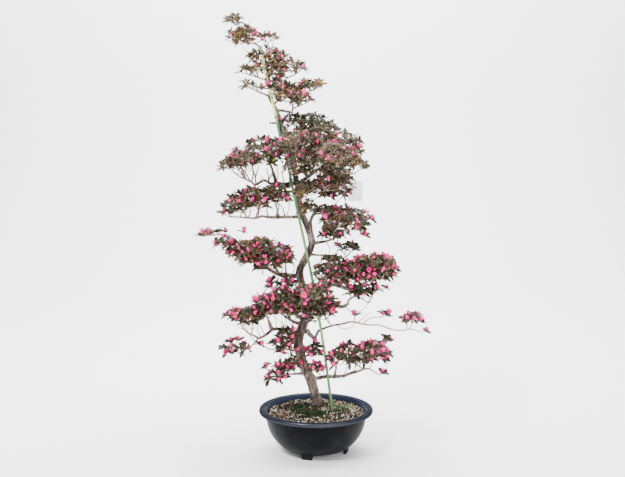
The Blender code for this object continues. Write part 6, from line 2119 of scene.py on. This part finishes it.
def build_stage(settings):
    """A pale floor that sweeps up behind, soft lights, and the camera at the photograph's place."""
    turns = [math.radians(degrees) for degrees in range(10, 91, 10)]
    rows = [(FLOOR_FRONT, 0.0), (SWEEP_START, 0.0)]
    rows += [(SWEEP_START + SWEEP_RADIUS * math.sin(turn),
              SWEEP_RADIUS - SWEEP_RADIUS * math.cos(turn)) for turn in turns]
    rows.append((SWEEP_START + SWEEP_RADIUS, BACKDROP_TOP))
    points = [(x, y, z) for y, z in rows for x in (-FLOOR_HALF_WIDTH, FLOOR_HALF_WIDTH)]
    faces = [(2 * k, 2 * k + 1, 2 * k + 3, 2 * k + 2) for k in range(len(rows) - 1)]
    mesh = bpy.data.meshes.new("pale_floor")
    mesh.from_pydata(points, [], faces)
    mesh.shade_smooth()
    mesh.materials.append(plain_paint("pale_floor", settings.floor, 0.9, Specular_IOR_Level=0.1))
    floor = put_in_scene("pale_floor", mesh)

    world = bpy.data.worlds.new("studio")
    world.use_nodes = True
    sky = world.node_tree.nodes["Background"]
    sky.inputs["Color"].default_value = (1.0, 1.0, 1.0, 1.0)
    sky.inputs["Strength"].default_value = settings.sky
    bpy.context.scene.world = world
    area_light("key", settings.key, *KEY_LIGHT)
    area_light("fill", settings.key * FILL_SHARE, *FILL_LIGHT)
    area_light("backdrop", settings.key * BACKDROP_SHARE, *BACKDROP_LIGHT)

    camera = bpy.data.cameras.new("camera")
    camera.lens = LENS
    view = put_in_scene("camera", camera)
    view.location = EYE + SHIFT
    view.rotation_euler = (AIM - EYE).to_track_quat('-Z', 'Y').to_euler()
    bpy.context.scene.camera = view


def tint(name, description, colour):
    """A colour that the panel shows."""
    return bpy.props.FloatVectorProperty(name=name, description=description, default=colour, size=3,
                                         min=0.0, max=1.0, subtype='COLOR')


class PotSettings(bpy.types.PropertyGroup):
    colour: tint("Plastic", "Colour of the pot's plastic", (0.0052, 0.0052, 0.0062))


class SoilSettings(bpy.types.PropertyGroup):
    colour: tint("Soil", "Colour of the fine soil between the grains", (0.022, 0.017, 0.013))
    pale: tint("Pale grains", "Colour of the pumice grains", (0.60, 0.50, 0.38))
    brown: tint("Brown grains", "Colour of the bark chips and clay grains", (0.120, 0.078, 0.050))
    count: bpy.props.IntProperty(name="Grains", description="How many grains lie on the soil",
                                 default=4300, min=0, max=8000)


class MossSettings(bpy.types.PropertyGroup):
    dark: tint("Moss", "Colour of the moss", (0.007, 0.012, 0.005))
    fresh: tint("Weeds", "Colour of the small weeds' leaves", (0.075, 0.145, 0.050))


class WoodSettings(bpy.types.PropertyGroup):
    old: tint("Bark", "Colour of the bark", (0.182, 0.140, 0.116))
    pale: tint("Pale bark", "Colour of the bark's paler plates", (0.410, 0.345, 0.288))
    relief: bpy.props.FloatProperty(name="Relief", description="How deep the bark's lumps are",
                                    default=1.0, min=0.0, max=2.0)


class FoliageSettings(bpy.types.PropertyGroup):
    old: tint("Old twigs", "Colour of the stems", (0.270, 0.200, 0.165))
    young: tint("Young twigs", "Colour of the youngest twigs", (0.290, 0.125, 0.095))
    leaf: tint("Leaves", "Colour of the dark leaves", (0.031, 0.040, 0.018))
    bronze: tint("Bronze leaves", "Colour of the bronzed leaves", (0.130, 0.058, 0.034))
    fresh: tint("Fresh leaves", "Colour of the yellow-green leaves", (0.500, 0.430, 0.080))
    crimson: tint("Crimson buds", "Colour of the deepest buds", (0.760, 0.009, 0.130))
    pink: tint("Pink buds", "Colour of the bright pink buds", (0.820, 0.009, 0.270))
    salmon: tint("Salmon buds", "Colour of the palest buds", (0.850, 0.200, 0.270))
    density: bpy.props.FloatProperty(name="Density", default=1.30, min=0.0, max=2.0,
                                     description="Share of the finer shoots that grow",
                                     subtype='FACTOR')


class StakeSettings(bpy.types.PropertyGroup):
    green: tint("Green", "Colour of the stake's coating", (0.105, 0.275, 0.060))
    # The yellow is painted light on the stake's top stretch
    yellow: tint("Yellow", "Colour of the coating where it has faded", (0.880, 1.000, 0.260))


class FittingSettings(bpy.types.PropertyGroup):
    colour: tint("Wire", "Colour of the tie wire", (0.060, 0.042, 0.030))
    card: tint("Card", "Colour of the bare tag", (0.940, 0.945, 0.940))
    eyelet: tint("Eyelet", "Colour of the eyelet", (0.030, 0.030, 0.034))
    thread: tint("Thread", "Colour of the thread", (0.620, 0.630, 0.610))


class StageSettings(bpy.types.PropertyGroup):
    floor: tint("Floor", "Colour of the floor and the backdrop", (0.95, 0.95, 0.95))
    sky: bpy.props.FloatProperty(name="Ambient light", default=0.70, min=0.0, max=3.0,
                                 description="Strength of the light all round")
    key: bpy.props.FloatProperty(name="Key light", description="Power of the key light",
                                 default=170.0, min=0.0, max=600.0, subtype='POWER')


class PieceOperator:
    """What the operators share: each builds its pieces from its settings in the scene."""
    bl_options = {'REGISTER', 'UNDO'}
    settings = ""
    build = None

    def execute(self, context):
        type(self).build(getattr(context.scene, self.settings))
        return {'FINISHED'}


class BONSAI_OT_pot(PieceOperator, bpy.types.Operator):
    """Build the pot"""
    bl_idname = "bonsai.pot"
    bl_label = "Pot"
    settings = "bonsai_pot"
    build = staticmethod(build_pot)


class BONSAI_OT_soil(PieceOperator, bpy.types.Operator):
    """Build the soil's bed"""
    bl_idname = "bonsai.soil"
    bl_label = "Soil"
    settings = "bonsai_soil"
    build = staticmethod(build_soil)


class BONSAI_OT_grains(PieceOperator, bpy.types.Operator):
    """Spread the grains over the soil"""
    bl_idname = "bonsai.grains"
    bl_label = "Soil grains"
    settings = "bonsai_soil"
    build = staticmethod(build_grains)


class BONSAI_OT_moss(PieceOperator, bpy.types.Operator):
    """Grow the moss and the small weeds"""
    bl_idname = "bonsai.moss"
    bl_label = "Moss and weeds"
    settings = "bonsai_moss"
    build = staticmethod(build_moss)


class BONSAI_OT_trunk(PieceOperator, bpy.types.Operator):
    """Build the trunk with its limbs and stubs"""
    bl_idname = "bonsai.trunk"
    bl_label = "Trunk"
    settings = "bonsai_wood"
    build = staticmethod(build_trunk)


class BONSAI_OT_fine_twigs(PieceOperator, bpy.types.Operator):
    """Build the bare fine twigs"""
    bl_idname = "bonsai.fine_twigs"
    bl_label = "Fine twigs"
    settings = "bonsai_foliage"
    build = staticmethod(build_fine_twigs)


class BONSAI_OT_sprays(PieceOperator, bpy.types.Operator):
    """Grow every spray of stems, leaves and buds"""
    bl_idname = "bonsai.sprays"
    bl_label = "Foliage"
    settings = "bonsai_foliage"
    build = staticmethod(build_sprays)


class BONSAI_OT_stake(PieceOperator, bpy.types.Operator):
    """Build the garden stake"""
    bl_idname = "bonsai.stake"
    bl_label = "Stake"
    settings = "bonsai_stake"
    build = staticmethod(build_stake)


class BONSAI_OT_ties(PieceOperator, bpy.types.Operator):
    """Twist the wire ties round the trunk and the stake"""
    bl_idname = "bonsai.ties"
    bl_label = "Wire ties"
    settings = "bonsai_fittings"
    build = staticmethod(build_ties)


class BONSAI_OT_tag(PieceOperator, bpy.types.Operator):
    """Build the bare tag with its eyelet and thread"""
    bl_idname = "bonsai.tag"
    bl_label = "Hang tag"
    settings = "bonsai_fittings"
    build = staticmethod(build_tag)


class BONSAI_OT_stage(PieceOperator, bpy.types.Operator):
    """Set up the floor, the lights and the camera"""
    bl_idname = "bonsai.stage"
    bl_label = "Stage"
    settings = "bonsai_stage"
    build = staticmethod(build_stage)


SETTINGS = {
    "bonsai_pot": PotSettings, "bonsai_soil": SoilSettings, "bonsai_moss": MossSettings,
    "bonsai_wood": WoodSettings, "bonsai_foliage": FoliageSettings, "bonsai_stake": StakeSettings,
    "bonsai_fittings": FittingSettings, "bonsai_stage": StageSettings,
}
OPERATORS = (
    BONSAI_OT_pot, BONSAI_OT_soil, BONSAI_OT_grains, BONSAI_OT_moss, BONSAI_OT_trunk,
    BONSAI_OT_fine_twigs, BONSAI_OT_sprays, BONSAI_OT_stake, BONSAI_OT_ties, BONSAI_OT_tag,
    BONSAI_OT_stage,
)


class BONSAI_PT_panel(bpy.types.Panel):
    """Lists the builders, each group with its settings"""
    bl_label = "Bonsai"
    bl_idname = "BONSAI_PT_panel"
    bl_space_type = 'VIEW_3D'
    bl_region_type = 'UI'
    bl_category = "Bonsai"

    def draw(self, context):
        for name, group in SETTINGS.items():
            box = self.layout.box()
            settings = getattr(context.scene, name)
            for key in group.__annotations__:
                box.prop(settings, key)
            for operator in OPERATORS:
                if operator.settings == name:
                    box.operator(operator.bl_idname)


def register():
    """Add the settings to the scene, and the operators and the panel to Blender."""
    for name, group in SETTINGS.items():
        bpy.utils.register_class(group)
        setattr(bpy.types.Scene, name, bpy.props.PointerProperty(type=group))
    for cls in (*OPERATORS, BONSAI_PT_panel):
        bpy.utils.register_class(cls)


def unregister():
    """Take out what register added."""
    for cls in reversed((*OPERATORS, BONSAI_PT_panel)):
        bpy.utils.unregister_class(cls)
    for name, group in SETTINGS.items():
        delattr(bpy.types.Scene, name)
        bpy.utils.unregister_class(group)


def main():
    """Build every piece and the stage."""
    register()
    bpy.ops.bonsai.pot()
    bpy.ops.bonsai.soil()
    bpy.ops.bonsai.grains()
    bpy.ops.bonsai.moss()
    bpy.ops.bonsai.trunk()
    bpy.ops.bonsai.fine_twigs()
    bpy.ops.bonsai.sprays()
    bpy.ops.bonsai.stake()
    bpy.ops.bonsai.ties()
    bpy.ops.bonsai.tag()
    bpy.ops.bonsai.stage()


if __name__ == "__main__":
    main()
